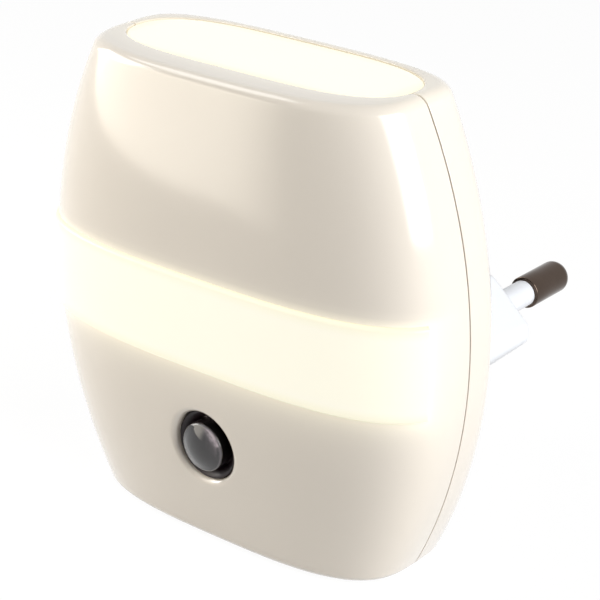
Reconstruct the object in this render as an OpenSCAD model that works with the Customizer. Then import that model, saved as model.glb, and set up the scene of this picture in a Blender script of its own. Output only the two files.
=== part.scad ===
// Plug-in night light with a twilight sensor: a barrel-sided shell in two halves,
// a lit window in the top, a lit band round the front and a flat two-pin plug behind.
// The origin is the middle of the plug's end face. +X is to the right seen from the
// front, +Y points into the wall and +Z is up. Millimetres.

/* [Body] */
// Widest width, at mid height
body_w = 61.2; // [58:0.2:70]
// Height of the body
body_h = 60.6; // [58:0.2:64]
// Radius of the bowed sides
side_r = 65.7; // [60:0.1:120]
// Depth in front of the parting line, at mid height
front_depth = 13.3; // [12.8:0.1:18]
// How much shallower the front is at its top and bottom edges
front_bulge = 2.5; // [0.5:0.1:3]
// Depth behind the parting line
back_depth = 9.5; // [9:0.1:12]
// Squareness of the front's rounding, 2 is an ellipse
front_power = 3.1; // [2.6:0.1:4]
// Squareness of the back's rounding across the width
back_power_x = 2.9; // [2.5:0.1:4]
// Squareness of the back's rounding across the depth
back_power_y = 4.5; // [3:0.1:6]
// Rounding of the top and bottom edges
edge_r = 1.1; // [0.6:0.1:2]
// Thickness of the shells
wall = 1.6; // [1.2:0.1:1.8]
// Groove left between the two shells
seam_gap = 0.2; // [0.1:0.05:0.3]

/* [Top window] */
// Width of the window
window_w = 42.6; // [36:0.1:44]
// Depth of the window, front to back
window_d = 14.2; // [12:0.1:14.6]
// Distance of the window's middle behind the parting line
window_back = 0.7; // [0:0.1:0.8]
// How far the window lies below the rim
window_recess = 0.15; // [0:0.05:0.4]
// Thickness of the window's flange
window_flange = 1.2; // [0.8:0.1:2]

/* [Front band] */
// Height of the band
band_h = 12; // [8:0.1:14]
// Height of the band's middle above the body's middle
band_z = 0.2; // [-1:0.1:2]
// Distance in front of the parting line where the band ends
band_end = 7; // [6:0.1:9]
// How far the band stands proud of the shell
band_proud = 0.45; // [0.2:0.05:0.8]
// Thickness of the flange behind the shell
band_flange_t = 1; // [0.8:0.1:1.4]
// Width of the flange outside the opening
band_flange = 1.4; // [1:0.1:2]

/* [Sensor] */
// Place of the sensor between the band and the bottom, as a share of that height
sensor_share = 0.437; // [0.42:0.005:0.46]
// Diameter of the hole in the shell
sensor_d = 9.2; // [8.8:0.1:10.5]
// Rounding of the hole's lip
sensor_lip = 0.9; // [0.3:0.1:1]
// Height of the collar inside the shell
collar_h = 1.4; // [1:0.1:1.8]
// Diameter of the lens
lens_d = 6.4; // [5.8:0.1:7]
// Height of the lens dome
dome_h = 1; // [0.3:0.1:1.5]
// Depth of the lens's rim below the shell's face
lens_in = 0.15; // [0:0.05:0.5]
// Diameter of the photocell
photocell_d = 5.1; // [4:0.1:5.4]

/* [Plug] */
// Distance of the plug below the body's middle
plug_drop = 12; // [11:0.1:12.6]
// Width of the plug
plug_w = 35; // [34:0.1:36]
// Height of the plug
plug_h = 13.5; // [13:0.1:14.2]
// Height of the flats at the plug's two ends
plug_flat = 2.1; // [1.5:0.1:4]
// Width of each slanted flank
plug_flank = 6.2; // [5:0.1:8]
// Distance from the body's back to the plug's end face
plug_len = 23.5; // [18:0.5:26]
// Rounding of the end face's edge
plug_edge = 1; // [0.4:0.1:1.2]
// Rounding of the plug's long edges
plug_round = 1.6; // [0.6:0.1:1.8]
// Wall of the hollow plug
plug_wall = 2.2; // [1.6:0.1:2.4]
// Thickness of the plug's end, which holds the pins
plug_end = 6; // [5:0.5:8]
// Distance between the pins
pin_pitch = 19; // [18:0.1:19.2]
// Diameter of the bare pin
pin_d = 4; // [3.9:0.05:4.1]
// Length of the pin outside the plug
pin_len = 18.6; // [18.5:0.1:19.5]
// Rounding of the pin's tip
pin_tip_r = 1.5; // [0.6:0.1:1.8]
// Diameter of the pin's core inside its sleeve
core_d = 2.9; // [2.6:0.1:3]
// Length of the core inside the hollow plug
core_tail = 4; // [3:0.5:6]
// Diameter of the insulating sleeve
sleeve_d = 3.65; // [3.5:0.05:3.65]
// Length of the sleeve outside the plug
sleeve_len = 10; // [10:0.1:11]
// Depth of the sleeve inside the plug
sleeve_in = 3; // [2:0.5:4]

/* [Circuit board] */
// Width of the board
board_w = 33; // [30:0.5:33]
// Distance of the board's upper edge below the body's top
board_top_in = 6.8; // [6.4:0.1:7.2]
// Distance of the board's lower edge above the body's bottom
board_low_in = 3.8; // [3.4:0.1:4.2]
// Thickness of the board
board_t = 1.6; // [1:0.1:1.8]
// Distance of the board's front behind the parting line
board_y = 1; // [0.8:0.1:1.2]
// Thickness of the reflector
reflector_t = 1; // [0.8:0.1:1]
// Diameter of a lamp
led_d = 5; // [3:0.5:5]
// Length of a lamp without its base
led_len = 7.5; // [5:0.5:8]
// Distance of the lower pair of lamps from the middle, sideways
led_low_x = 12; // [10:0.5:13]
// Distance of the upper pair of lamps from the middle, sideways
led_high_x = 7; // [5:0.5:10]
// Height of the upper pair above the lower pair
led_rise = 15; // [10:0.5:16]
// Diameter of the live and neutral wires
wire_d = 1.6; // [1.2:0.1:1.8]

/* [Parts on the board] */
// Thickness of the film capacitor
film_t = 6.4; // [5:0.1:6.6]
// Distance that the capacitors stand off the board
can_h = 9; // [7:0.5:10]
// Diameter of the smoothing capacitor
can_d = 6.3; // [5:0.1:6.3]
// Diameter of the resistors
resistor_d = 2.3; // [1.8:0.1:2.5]
// Length of the resistors
resistor_len = 6; // [5:0.1:6.5]
// Diameter of the rectifier's diodes
diode_d = 2.2; // [1.8:0.1:2.4]
// Length of the rectifier's diodes
diode_len = 4.6; // [4:0.1:5]
// Diameter of the Zener diode
zener_d = 1.6; // [1.4:0.1:1.8]
// Length of the Zener diode
zener_len = 3.4; // [3:0.1:4]
// Diameter of the transistor
transistor_d = 4.6; // [4.2:0.1:4.8]
// Clearance between neighbouring parts
part_gap = 0.35; // [0.25:0.05:0.5]
// Distance of the outer parts from the board's edges
part_in = 1; // [0.8:0.1:1.2]

/* [Screws] */
// Shank diameter of the case screws
case_screw_d = 2.6; // [2:0.1:3]
// Length of their shanks
case_screw_len = 8; // [7:0.5:8]
// Head diameter of the case screws
case_head_d = 5; // [4.4:0.1:5.2]
// Head height of the case screws
case_head_h = 1.8; // [1.4:0.1:2]
// Distance of the case screws from the middle, sideways
case_screw_x = 21; // [20.8:0.1:21.2]
// Distance of the case screws from the middle, up and down
case_screw_z = 19; // [18:0.1:19.4]
// Shank diameter of the board screws
board_screw_d = 2.2; // [1.8:0.1:2.4]
// Length of their shanks
board_screw_len = 6; // [5.5:0.5:6]
// Head diameter of the board screws
board_head_d = 4; // [3.4:0.1:4.2]
// Head height of the board screws
board_head_h = 1.4; // [1:0.1:1.6]
// Distance of the board screws from the board's edges
board_screw_in = 3; // [2.6:0.1:3.2]

/* [Fits] */
// Clearance between parts that snap or glue together
gap = 0.1; // [0.05:0.05:0.15]
// Clearance between a screw or pin and its hole
hole_gap = 0.05; // [0.02:0.01:0.1]
// Clearance between curved walls
wall_gap = 0.15; // [0.15:0.05:0.2]

/* [Hidden] */
$fn = 64;

cream = [0.93, 0.9, 0.85];
glow = [1, 0.99, 0.9];
half_h = body_h/2;
// Steps round half of a horizontal section, and up the outside and the cavity
round_steps = 36;
rise_steps = 14;
cavity_steps = 10;
cavity_r = 0.4;

plug_y = back_depth + plug_len;          // end face, behind the parting line
lip_t = 1;                               // tongue that lines up the shells
lip_h = 1.8;
boss_d = case_screw_d + 3.8;
post_wall = 1;                           // round the tunnel of a case screw
post_d = case_head_d + 0.6 + 2*post_wall;
screw_seat = 2;                          // under a case screw's head
pad_t = 0.7;                             // flat seat for the plug's flange
flange_t = 1.5;
flange_w = 2;

band_low = band_z - band_h/2;
sensor_drop = -band_low + sensor_share*(half_h + band_low);
sensor_face = front_depth - front_bulge*pow(sensor_drop/half_h, 2);
collar_face = sensor_face - wall - collar_h;
lens_seat = collar_face - 2;
ring_recess = 0.9;

floor_z = band_low - band_flange - 2*gap;
board_low = board_low_in - half_h;
board_high = half_h - board_top_in;
board_back = board_y + board_t;
screw_x = board_w/2 - board_screw_in;
led_places = [for (s = [-1, 1]) each
    [[s*led_low_x, band_z], [s*led_high_x, band_z + led_rise]]];

// Places of the parts under the reflector's shelf
room_top = floor_z - reflector_t - part_gap;
outer_x = board_w/2 - part_in - film_t/2;
inner_x = outer_x - film_t/2 - part_gap - resistor_d/2;
film_low = board_low + board_screw_in + board_head_d/2 + part_gap;
lead_d = 0.6;                            // legs of the parts on the board
lead_out = 0.8;                          // legs beyond a resistor's ends
diode_pitch = diode_d + 0.5;
zener_z = board_low + part_in + lead_d/2;
diode_places = concat([for (i = [0, 1]) room_top - diode_d/2 - i*diode_pitch],
    [for (i = [0, 1]) zener_z + zener_d/2 + lead_d + diode_d/2 + i*diode_pitch]);

// ---- sections ----

function sign_pow(v, e) = sign(v)*pow(abs(v), e);
function reverse(list) = [for (i = [len(list) - 1:-1:0]) list[i]];

// Half width and front depth of the outside at height z
function half_w(z) = body_w/2 - side_r + sqrt(side_r*side_r - z*z);
function front_d(z) = front_depth - front_bulge*pow(z/half_h, 2);

// Rounded bow from the left over the front to the right, from angle a0 on
function bow(w, d, px, py, a0 = 0) = [
    for (i = [0:round_steps]) let (a = a0 + (180 - 2*a0)*i/round_steps)
        [-w*sign_pow(cos(a), 2/px), -d*pow(sin(a), 2/py)]
];
function front_line(z, inset) =
    bow(half_w(z) - inset, front_d(z) - inset, front_power, front_power);
function back_line(z, inset) =
    bow(half_w(z) - inset, back_depth - inset, back_power_x, back_power_y);

// The part of a front line that lies further than y_end before the parting plane
function front_part(z, inset, y_end) =
    bow(half_w(z) - inset, front_d(z) - inset, front_power, front_power,
        asin(pow(y_end/(front_d(z) - inset), front_power/2)));

// Superellipse of the window
function window_line(inset) = [
    for (i = [0:71]) let (a = 5*i) [
        (window_w/2 - inset)*sign_pow(cos(a), 2/4),
        window_back + (window_d/2 - inset)*sign_pow(sin(a), 2/2.2)
    ]
];

// Arc that rounds the corner b between a and c of a counterclockwise outline
function unit(v) = v/norm(v);
function fillet(a, b, c, r) =
    let (u = unit(a - b), v = unit(c - b), half = acos(u*v)/2,
         centre = b + unit(u + v)*r/sin(half), start = b + u*r/tan(half) - centre,
         from = atan2(start.y, start.x))
    [for (i = [0:4]) centre + r*[cos(from + (180 - 2*half)*i/4),
                                 sin(from + (180 - 2*half)*i/4)]];
function rounded(list, r) = let (n = len(list)) [
    for (i = [0:n - 1]) each fillet(list[(i + n - 1)%n], list[i], list[(i + 1)%n], r)
];

// Flat outline of the plug, made smaller by inset
function plug_corners(inset) =
    let (x = plug_w/2 - inset, z = plug_h/2 - inset, e = plug_end_half(inset),
         f = plug_w/2 - plug_flank - 0.4*inset)
    [[f, -z], [x, -e], [x, e], [f, z], [-f, z], [-x, e], [-x, -e], [-f, -z]];
function plug_end_half(inset) = max(plug_flat/2 - 0.4*inset, 0.2);
// The rounding is limited by the flat at the end
function plug_line(inset) =
    rounded(plug_corners(inset), min(plug_round, 1.6*plug_end_half(inset)));

// ---- helpers ----

// Solid through rings of equal length, each at its own height
module loft(rings, heights) {
    n = len(rings[0]);
    top = n*(len(rings) - 1);
    points = [for (k = [0:len(rings) - 1]) for (p = rings[k]) [p.x, p.y, heights[k]]];
    cap = [for (i = [0:floor(n/2) - 1]) each concat([[i, i + 1, n - 1 - i]],
        i + 1 < n - 2 - i ? [[i + 1, n - 2 - i, n - 1 - i]] : [])];
    sides = [for (k = [0:len(rings) - 2]) for (i = [0:n - 1])
        let (a = k*n + i, b = k*n + (i + 1)%n) each [[a, a + n, b + n], [a, b + n, b]]];
    polyhedron(points, concat(cap, sides,
        [for (t = cap) [t[2] + top, t[1] + top, t[0] + top]]));
}

// Moves from the body's middle, on the parting plane, to the part's frame
module in_body() translate([0, -plug_y, plug_drop]) children();

// Extrudes a shape drawn in X and Z from y0 to y1
module along_y(y0, y1) translate([0, y1, 0]) rotate([90, 0, 0])
    linear_extrude(y1 - y0) children();

module rod(y0, y1, d) along_y(y0, y1) circle(d = d);

// Turns +Z to the front, with its origin on the parting plane at the sensor's height
module at_sensor() translate([0, 0, -sensor_drop]) rotate([90, 0, 0]) children();

module at_case_screws() for (x = [-1, 1], z = [-1, 1])
    translate([x*case_screw_x, 0, z*case_screw_z]) children();

module at_board_screws() for (x = [-1, 1], z = [board_low, board_high])
    translate([x*screw_x, 0, z - sign(z)*board_screw_in]) children();

module at_pins() for (x = [-1, 1]) translate([x*pin_pitch/2, 0, -plug_drop]) children();

// Front or back half of the body, made smaller by inset and carried over the parting plane
module half_body(front, inset = 0, over = 0, steps = rise_steps) {
    h = half_h - inset;
    r = max(edge_r - inset, cavity_r);
    edge = [for (a = [0:30:90]) [h - r + r*cos(a), r*(1 - sin(a))]];
    levels = concat(
        [for (e = edge) [-e[0], e[1]]],
        [for (i = [1:steps - 1]) [(h - r)*(2*i/steps - 1), 0]],
        [for (e = reverse(edge)) [e[0], e[1]]]);
    rings = [for (l = levels) let (z = l[0], cut = inset + l[1], w = half_w(z) - cut)
        concat(front ? front_line(z, cut) : back_line(z, cut),
               over > 0 ? [[w, over], [-w, over]] : [])];
    mirror([0, front ? 0 : 1, 0]) loft(rings, [for (l = levels) l[0]]);
}

// Outline of the parting plane in X and Z, made smaller by inset
module barrel(inset) intersection() {
    for (x = [-1, 1]) intersection_for(s = [-1, 1])
        translate([s*(side_r - body_w/2), 0]) circle(r = side_r - inset, $fn = 200);
    square([body_w, 2*(half_h - inset)], center = true);
}

module window_prism(inset, z0, z1) translate([0, 0, z0]) linear_extrude(z1 - z0)
    polygon(window_line(inset));

// Curved strip of the front between two insets, from z0 to z1 and out to y_end
module front_strip(out, inn, z0, z1, y_end) {
    heights = [for (i = [0:4]) z0 + (z1 - z0)*i/4];
    loft([for (z = heights)
        concat(front_part(z, out, y_end), reverse(front_part(z, inn, y_end)))], heights);
}

module pan_screw(d, len, head_d, head_h) difference() {
    union() {
        cylinder(d = head_d, h = head_h*0.6);
        intersection() {
            cylinder(d = head_d, h = head_h);
            translate([0, 0, head_h - head_d]) sphere(r = head_d);
        }
        translate([0, 0, -len]) cylinder(d = d, h = len);
    }
    for (a = [0, 90]) rotate([0, 0, a])
        translate([-head_d*0.28, -head_d*0.06, head_h*0.45])
            cube([head_d*0.56, head_d*0.12, head_h]);
}

// Wire-ended part lying along X on the board's front, with its legs bent to the board
module axial(d, len, lead, wire = lead_d) {
    rise = d/2;
    pitch = len + 2*lead;
    translate([0, -rise, 0]) rotate([0, 90, 0]) {
        cylinder(d = d*0.88, h = len, center = true);
        for (s = [-1, 1]) translate([0, 0, s*len*0.36])
            cylinder(d = d, h = len*0.28, center = true);
        cylinder(d = wire, h = pitch, center = true);
        for (s = [-1, 1]) translate([0, 0, s*pitch/2]) sphere(d = wire);
    }
    for (s = [-1, 1]) translate([s*pitch/2, 0, 0]) rod(-rise, 0, wire);
}

// ---- shells ----

module front_shell() color(cream) in_body() difference() {
    union() {
        difference() {
            half_body(true);
            half_body(true, wall, over = 1, steps = cavity_steps);
        }
        intersection() {
            half_body(true, wall/2, steps = cavity_steps);
            union() {
                at_case_screws() rod(-front_depth, 0, boss_d);
                at_sensor() translate([0, 0, collar_face])
                    cylinder(d = sensor_d + 2.6, h = front_depth);
            }
        }
    }
    // Front face of the seam's groove
    translate([-body_w/2, -seam_gap/2, -half_h]) cube([body_w, 2, body_h]);
    window_prism(0, half_h - 2*wall, half_h + 1);
    translate([-body_w/2, -2*front_depth, band_low])
        cube([body_w, 2*front_depth - band_end, band_h]);
    at_sensor() {
        cylinder(d = sensor_d, h = 2*front_depth);
        translate([0, 0, sensor_face]) rotate_extrude() difference() {
            translate([0, -sensor_lip]) square([sensor_d/2 + sensor_lip, 3*sensor_lip]);
            translate([sensor_d/2 + sensor_lip, -sensor_lip]) circle(r = sensor_lip);
        }
    }
    at_case_screws() rod(screw_seat - case_screw_len - 0.5, 1, case_screw_d + 2*hole_gap);
}

module back_shell() color(cream) in_body() difference() {
    union() {
        difference() {
            half_body(false);
            half_body(false, wall, over = 1, steps = cavity_steps);
            translate([-body_w/2, seam_gap/2 - 2, -half_h]) cube([body_w, 2, body_h]);
        }
        // Posts for the screws and a flat seat for the plug
        intersection() {
            half_body(false, wall/2, steps = cavity_steps);
            union() {
                at_case_screws() rod(seam_gap/2, back_depth, post_d);
                at_board_screws() rod(board_back, back_depth, board_screw_d + 3);
                translate([0, 0, -plug_drop]) along_y(back_depth - wall - pad_t, back_depth)
                    polygon(plug_line(-flange_w - 0.6));
            }
        }
        lip();
    }
    at_case_screws() {
        rod(0, screw_seat + 1, case_screw_d + 2*hole_gap);
        rod(screw_seat, back_depth + 1, case_head_d + 0.6);
    }
    at_board_screws() rod(board_back - 1, board_back + board_screw_len,
        board_screw_d + 2*hole_gap);
    translate([0, 0, -plug_drop]) along_y(0, back_depth + 1) polygon(plug_line(-gap));
    window_prism(0, half_h - 2*wall, half_h + 1);
    // Room for the window's flange
    translate([-body_w/2, -5, half_h - wall - window_flange - 2*gap])
        cube([body_w, 5 + lip_h + gap, window_flange + 2*gap]);
}

// Tongue of the back shell, which lies inside the front shell's wall
module lip() {
    along_y(seam_gap/2, lip_h) difference() {
        barrel(wall*0.7);
        barrel(wall + wall_gap + lip_t);
    }
    along_y(-lip_h, lip_h) difference() {
        barrel(wall + wall_gap);
        barrel(wall + wall_gap + lip_t);
    }
}

// ---- lit parts ----

module front_band() color(glow) in_body() {
    front_strip(-band_proud, wall + band_flange_t/2,
        band_low + gap, band_low + band_h - gap, band_end + gap);
    front_strip(wall + wall_gap, wall + wall_gap + band_flange_t,
        band_low - band_flange, band_low + band_h + band_flange, band_end - band_flange);
}

module top_window() color(glow) in_body() {
    low = half_h - wall - gap - window_flange;
    edge = wall + cavity_r + gap;
    window_prism(gap, low + 0.5, half_h - window_recess);
    translate([0, 0, low]) linear_extrude(window_flange) {
        polygon(front_line(low + window_flange, edge));
        mirror([0, 1]) polygon(back_line(low + window_flange, edge));
    }
}

module reflector() color("white") in_body() difference() {
    union() {
        translate([0, 0, floor_z - reflector_t]) linear_extrude(reflector_t) {
            polygon(front_line(floor_z, wall + wall_gap + lip_t + 3*gap));
            translate([-board_w/2, -1]) square([board_w, board_y + 1]);
        }
        translate([-board_w/2, board_y - reflector_t, floor_z - reflector_t])
            cube([board_w, reflector_t,
                  half_h - wall - window_flange - 2*gap - floor_z + reflector_t]);
    }
    for (p = led_places) translate([p.x, 0, p.y]) rod(-1, 2, led_d + 1.2);
    at_board_screws() rod(-1, board_y + 1, board_screw_d + 2*hole_gap);
}

// ---- sensor ----

module sensor_ring() color([0.08, 0.08, 0.08]) in_body() at_sensor() difference() {
    union() {
        translate([0, 0, lens_seat - 2]) cylinder(d = sensor_d - 2*gap,
            h = sensor_face - ring_recess - lens_seat + 2);
        translate([0, 0, collar_face - gap - 1]) cylinder(d = sensor_d + 2.6, h = 1);
    }
    cylinder(d = photocell_d + 2*gap, h = front_depth);
    translate([0, 0, lens_seat]) cylinder(d = lens_d + 2*hole_gap, h = front_depth);
    // Funnel round the lens
    translate([0, 0, sensor_face - ring_recess - 1.2])
        cylinder(d1 = lens_d + 2*hole_gap, d2 = sensor_d - 1.2, h = 1.21);
}

module sensor_lens() color([0.85, 0.88, 0.9, 0.5]) in_body() at_sensor() {
    dome_r = (pow(lens_d/2, 2) + dome_h*dome_h)/(2*dome_h);
    base = sensor_face - lens_in;
    translate([0, 0, lens_seat + hole_gap]) cylinder(d = lens_d, h = base - lens_seat);
    intersection() {
        translate([0, 0, base]) cylinder(d = lens_d, h = dome_h + 1);
        translate([0, 0, base + dome_h - dome_r]) sphere(r = dome_r);
    }
}

module photocell() color([0.75, 0.35, 0.2]) in_body() at_sensor() {
    translate([0, 0, lens_seat - 2.3]) cylinder(d = photocell_d, h = 2.2);
    for (x = [-1.3, 1.3]) translate([x, 0, -board_y])
        cylinder(d = 0.6, h = lens_seat - 2 + board_y);
}

// ---- electronics ----

module circuit_board() color([0.2, 0.5, 0.25]) in_body() difference() {
    translate([-board_w/2, board_y, board_low]) cube([board_w, board_t, board_high - board_low]);
    at_board_screws() rod(board_y - 1, board_back + 1, board_screw_d + 2*hole_gap);
}

module leds() color([0.95, 0.95, 0.8]) in_body()
    for (p = led_places) translate([p.x, board_y, p.y]) rotate([90, 0, 0]) {
        cylinder(d = led_d + 0.8, h = 1);
        cylinder(d = led_d, h = led_len - led_d/2);
        translate([0, 0, led_len - led_d/2]) sphere(d = led_d);
    }

// Moves to a place on the board's front, x and z from the body's middle
module on_board(x, z) in_body() translate([x, board_y, z]) children();

module film_capacitor() color([0.85, 0.75, 0.2]) on_board(-outer_x, film_low)
    translate([-film_t/2, -can_h, 0]) cube([film_t, can_h, room_top - film_low]);

module smoothing_capacitor() color([0.15, 0.2, 0.4]) on_board(outer_x, room_top - can_d/2)
    rotate([90, 0, 0]) difference() {
        cylinder(d = can_d, h = can_h);
        translate([0, 0, 1.4]) rotate_extrude()
            translate([can_d/2 + 0.2, 0]) circle(r = 0.5);
    }

module resistor(side) on_board(side*inner_x,
    room_top - resistor_len/2 - lead_out - lead_d/2)
    rotate([0, 90, 0]) axial(resistor_d, resistor_len, lead_out);

module bleed_resistor() color([0.8, 0.7, 0.5]) resistor(-1);
module fuse_resistor() color([0.5, 0.6, 0.7]) resistor(1);

module rectifier_diodes() color([0.12, 0.12, 0.12])
    for (z = diode_places) on_board(0, z) axial(diode_d, diode_len, 1.7);

module zener_diode() color([0.8, 0.4, 0.2])
    on_board(0, zener_z) axial(zener_d, zener_len, 1.8, 0.5);

module switch_transistor() color([0.1, 0.1, 0.1])
    on_board(inner_x, board_low + part_in + transistor_d/3) {
        translate([0, -2, 0]) rotate([90, 0, 0]) intersection() {
            cylinder(d = transistor_d, h = transistor_d);
            translate([-transistor_d/2, -transistor_d/3, 0])
                cube([transistor_d, transistor_d, transistor_d]);
        }
        for (x = [-1.27, 0, 1.27]) translate([x, 0, 0]) rod(-2.2, 0, 0.5);
    }

// ---- plug ----

module plug_block() color([0.93, 0.95, 0.98]) in_body() translate([0, 0, -plug_drop])
    difference() {
        seat = back_depth - wall - pad_t;
        union() {
            edge = [for (a = [0:30:90]) [plug_edge*sin(a), plug_edge*(1 - cos(a))]];
            rotate([-90, 0, 0]) loft(
                concat([plug_line(0)], [for (e = edge) plug_line(e[1])]),
                concat([seat - 0.5], [for (e = edge) plug_y - plug_edge + e[0]]));
            along_y(seat - flange_t - gap, seat - gap) polygon(plug_line(-flange_w));
        }
        along_y(seat - flange_t - 1, plug_y - plug_end) polygon(plug_line(plug_wall));
        for (x = [-1, 1]) translate([x*pin_pitch/2, 0, 0]) {
            rod(plug_y - plug_end - 1, plug_y, core_d + 2*hole_gap);
            rod(plug_y - sleeve_in, plug_y + 1, sleeve_d + 2*hole_gap);
        }
    }

module pin(side) color([0.78, 0.76, 0.72]) in_body()
    translate([side*pin_pitch/2, plug_y, -plug_drop]) rotate([-90, 0, 0]) {
        translate([0, 0, -plug_end - core_tail])
            cylinder(d = core_d, h = plug_end + core_tail + sleeve_len + 1);
        // Collar that keeps the pin from being pulled out
        translate([0, 0, -plug_end - 1]) cylinder(d = core_d + 1.6, h = 1);
        rotate_extrude() {
            translate([0, sleeve_len]) square([pin_d/2 - pin_tip_r, pin_len - sleeve_len]);
            translate([0, sleeve_len])
                square([pin_d/2, pin_len - sleeve_len - pin_tip_r]);
            translate([pin_d/2 - pin_tip_r, pin_len - pin_tip_r]) intersection() {
                circle(r = pin_tip_r);
                square(pin_tip_r);
            }
        }
    }

module right_pin() pin(1);
module left_pin() pin(-1);

module sleeve(side) color([0.93, 0.95, 0.98]) in_body()
    translate([side*pin_pitch/2, plug_y, -plug_drop]) rotate([-90, 0, 0])
        translate([0, 0, -sleeve_in]) difference() {
            cylinder(d = sleeve_d, h = sleeve_in + sleeve_len);
            translate([0, 0, -1])
                cylinder(d = core_d + 2*hole_gap, h = sleeve_in + sleeve_len + 2);
        }

module right_sleeve() sleeve(1);
module left_sleeve() sleeve(-1);

// Wire from a pin's tail up behind the board and into it
module wire(side) in_body() translate([side*pin_pitch/2, 0, -plug_drop]) {
    run_y = board_back + 2;
    bend = 1.6;
    run = 5;
    rod(run_y + bend, plug_y - plug_end - core_tail, wire_d);
    translate([0, run_y + bend, bend]) rotate([0, -90, 0]) rotate([0, 0, 180])
        rotate_extrude(angle = 90) translate([bend, 0]) circle(d = wire_d);
    translate([0, run_y, bend]) cylinder(d = wire_d, h = run);
    translate([0, run_y - bend, bend + run]) rotate([0, -90, 0])
        rotate_extrude(angle = 90) translate([bend, 0]) circle(d = wire_d);
    translate([0, 0, 2*bend + run]) rod(board_back, run_y - bend, wire_d);
}

module live_wire() color([0.45, 0.25, 0.15]) wire(1);
module neutral_wire() color([0.2, 0.35, 0.75]) wire(-1);

// ---- screws ----

module case_screws() color([0.7, 0.7, 0.72]) in_body() at_case_screws()
    translate([0, screw_seat, 0]) rotate([-90, 0, 0])
        pan_screw(case_screw_d, case_screw_len, case_head_d, case_head_h);

module board_screws() color([0.7, 0.7, 0.72]) in_body() {
    // The upper pair also holds the reflector
    for (x = [-1, 1], z = [-1, 1])
        translate([x*screw_x, board_y - (z > 0 ? reflector_t : 0),
                   z > 0 ? board_high - board_screw_in : board_low + board_screw_in])
            rotate([90, 0, 0])
                pan_screw(board_screw_d, board_screw_len, board_head_d, board_head_h);
}

front_shell();
back_shell();
front_band();
top_window();
sensor_ring();
sensor_lens();
photocell();
reflector();
circuit_board();
leds();
film_capacitor();
smoothing_capacitor();
bleed_resistor();
fuse_resistor();
rectifier_diodes();
zener_diode();
switch_transistor();
plug_block();
right_pin();
left_pin();
right_sleeve();
left_sleeve();
live_wire();
neutral_wire();
case_screws();
board_screws();
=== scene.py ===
"""Looks of a plug-in night light: smooth shells, lit diffusers, sensor, plug and finishes."""

import math

import bmesh
import bpy
import numpy as np
from bpy.props import FloatProperty, FloatVectorProperty, IntProperty, PointerProperty
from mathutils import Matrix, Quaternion, Vector
from mathutils.geometry import delaunay_2d_cdt


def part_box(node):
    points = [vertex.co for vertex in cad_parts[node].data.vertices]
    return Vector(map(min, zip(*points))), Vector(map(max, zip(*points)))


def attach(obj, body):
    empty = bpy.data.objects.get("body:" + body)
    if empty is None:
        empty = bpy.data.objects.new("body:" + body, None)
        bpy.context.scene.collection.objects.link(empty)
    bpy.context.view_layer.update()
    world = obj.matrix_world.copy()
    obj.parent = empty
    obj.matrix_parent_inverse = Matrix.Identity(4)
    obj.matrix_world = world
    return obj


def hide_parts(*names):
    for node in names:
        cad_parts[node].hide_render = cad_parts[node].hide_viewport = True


bl_info = {
    "name": "Night Light Looks",
    "version": (1, 0, 0),
    "blender": (4, 5, 0),
    "location": "View3D > Sidebar > Night Light",
    "description": "Builds the visible surfaces of a plug-in night light around its frame",
    "category": "Object",
}

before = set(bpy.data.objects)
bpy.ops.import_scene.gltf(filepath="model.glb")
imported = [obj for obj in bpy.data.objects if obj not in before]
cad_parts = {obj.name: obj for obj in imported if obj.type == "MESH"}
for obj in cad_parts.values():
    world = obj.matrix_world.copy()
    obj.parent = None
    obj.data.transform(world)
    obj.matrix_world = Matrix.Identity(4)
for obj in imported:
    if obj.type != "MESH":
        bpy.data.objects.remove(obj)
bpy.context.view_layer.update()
MM = 0.001


def mm_box(node):
    """Lowest and highest corner of a frame node in millimetres."""
    low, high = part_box(node)
    return low / MM, high / MM


FRONT_LOW, FRONT_HIGH = mm_box("front_shell")
BACK_HIGH = mm_box("back_shell")[1]
WINDOW_LOW, WINDOW_HIGH = mm_box("top_window")
BAND_LOW, BAND_HIGH = mm_box("front_band")
RING_LOW, RING_HIGH = mm_box("sensor_ring")
LENS_LOW, LENS_HIGH = mm_box("sensor_lens")
PLUG_LOW, PLUG_HIGH = mm_box("plug_block")
PIN_LOW, PIN_HIGH = mm_box("right_pin")
SLEEVE_LOW, SLEEVE_HIGH = mm_box("right_sleeve")
SCREW_LOW, SCREW_HIGH = mm_box("case_screws")

# Small sizes that pieces share, in millimetres.
FIT = 0.05          # Clearance at each side of a piece that sits in another
CLEAR = 0.1         # Clearance round the photocell, the plug and the sensor's flange
BEHIND = 0.15       # Clearance of the tongue and the band's flange behind the wall
THIN_WALL = 1.0     # Walls of the tongue, the screw tunnels and the flanges
ROUND_STEPS = 6     # Faces across a small rounding

# The camera's sensor in millimetres, and the photograph's width and focal length in pixels.
SENSOR_WIDTH = 36
IMAGE_PIXELS = 600
FOCAL_PIXELS = 2102.55


# ---- settings ----

def length(name, description, mm):
    """Property for a length whose default is given in millimetres."""
    return FloatProperty(name=name, description=description, default=mm * MM,
                         unit="LENGTH", precision=5)


def power(name, description, value):
    """Property for the power of a rounded outline, 2 for a circle's."""
    return FloatProperty(name=name, description=description, default=value, min=1, max=8)


def share(name, description, value):
    """Property for a share from 0 to 1."""
    return FloatProperty(name=name, description=description, default=value,
                         min=0, max=1, subtype="FACTOR")


def brightness(name, description, value):
    """Property for how strong a light is."""
    return FloatProperty(name=name, description=description, default=value, min=0)


def angle(name, description, degrees):
    """Property for an angle whose default is given in degrees."""
    return FloatProperty(name=name, description=description,
                         default=math.radians(degrees), subtype="ANGLE")


def linear(code):
    """Linear colour of a hexadecimal one."""
    channels = [int(code[i:i + 2], 16) / 255 for i in (0, 2, 4)]
    return [c / 12.92 if c <= 0.04045 else ((c + 0.055) / 1.055) ** 2.4 for c in channels]


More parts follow.
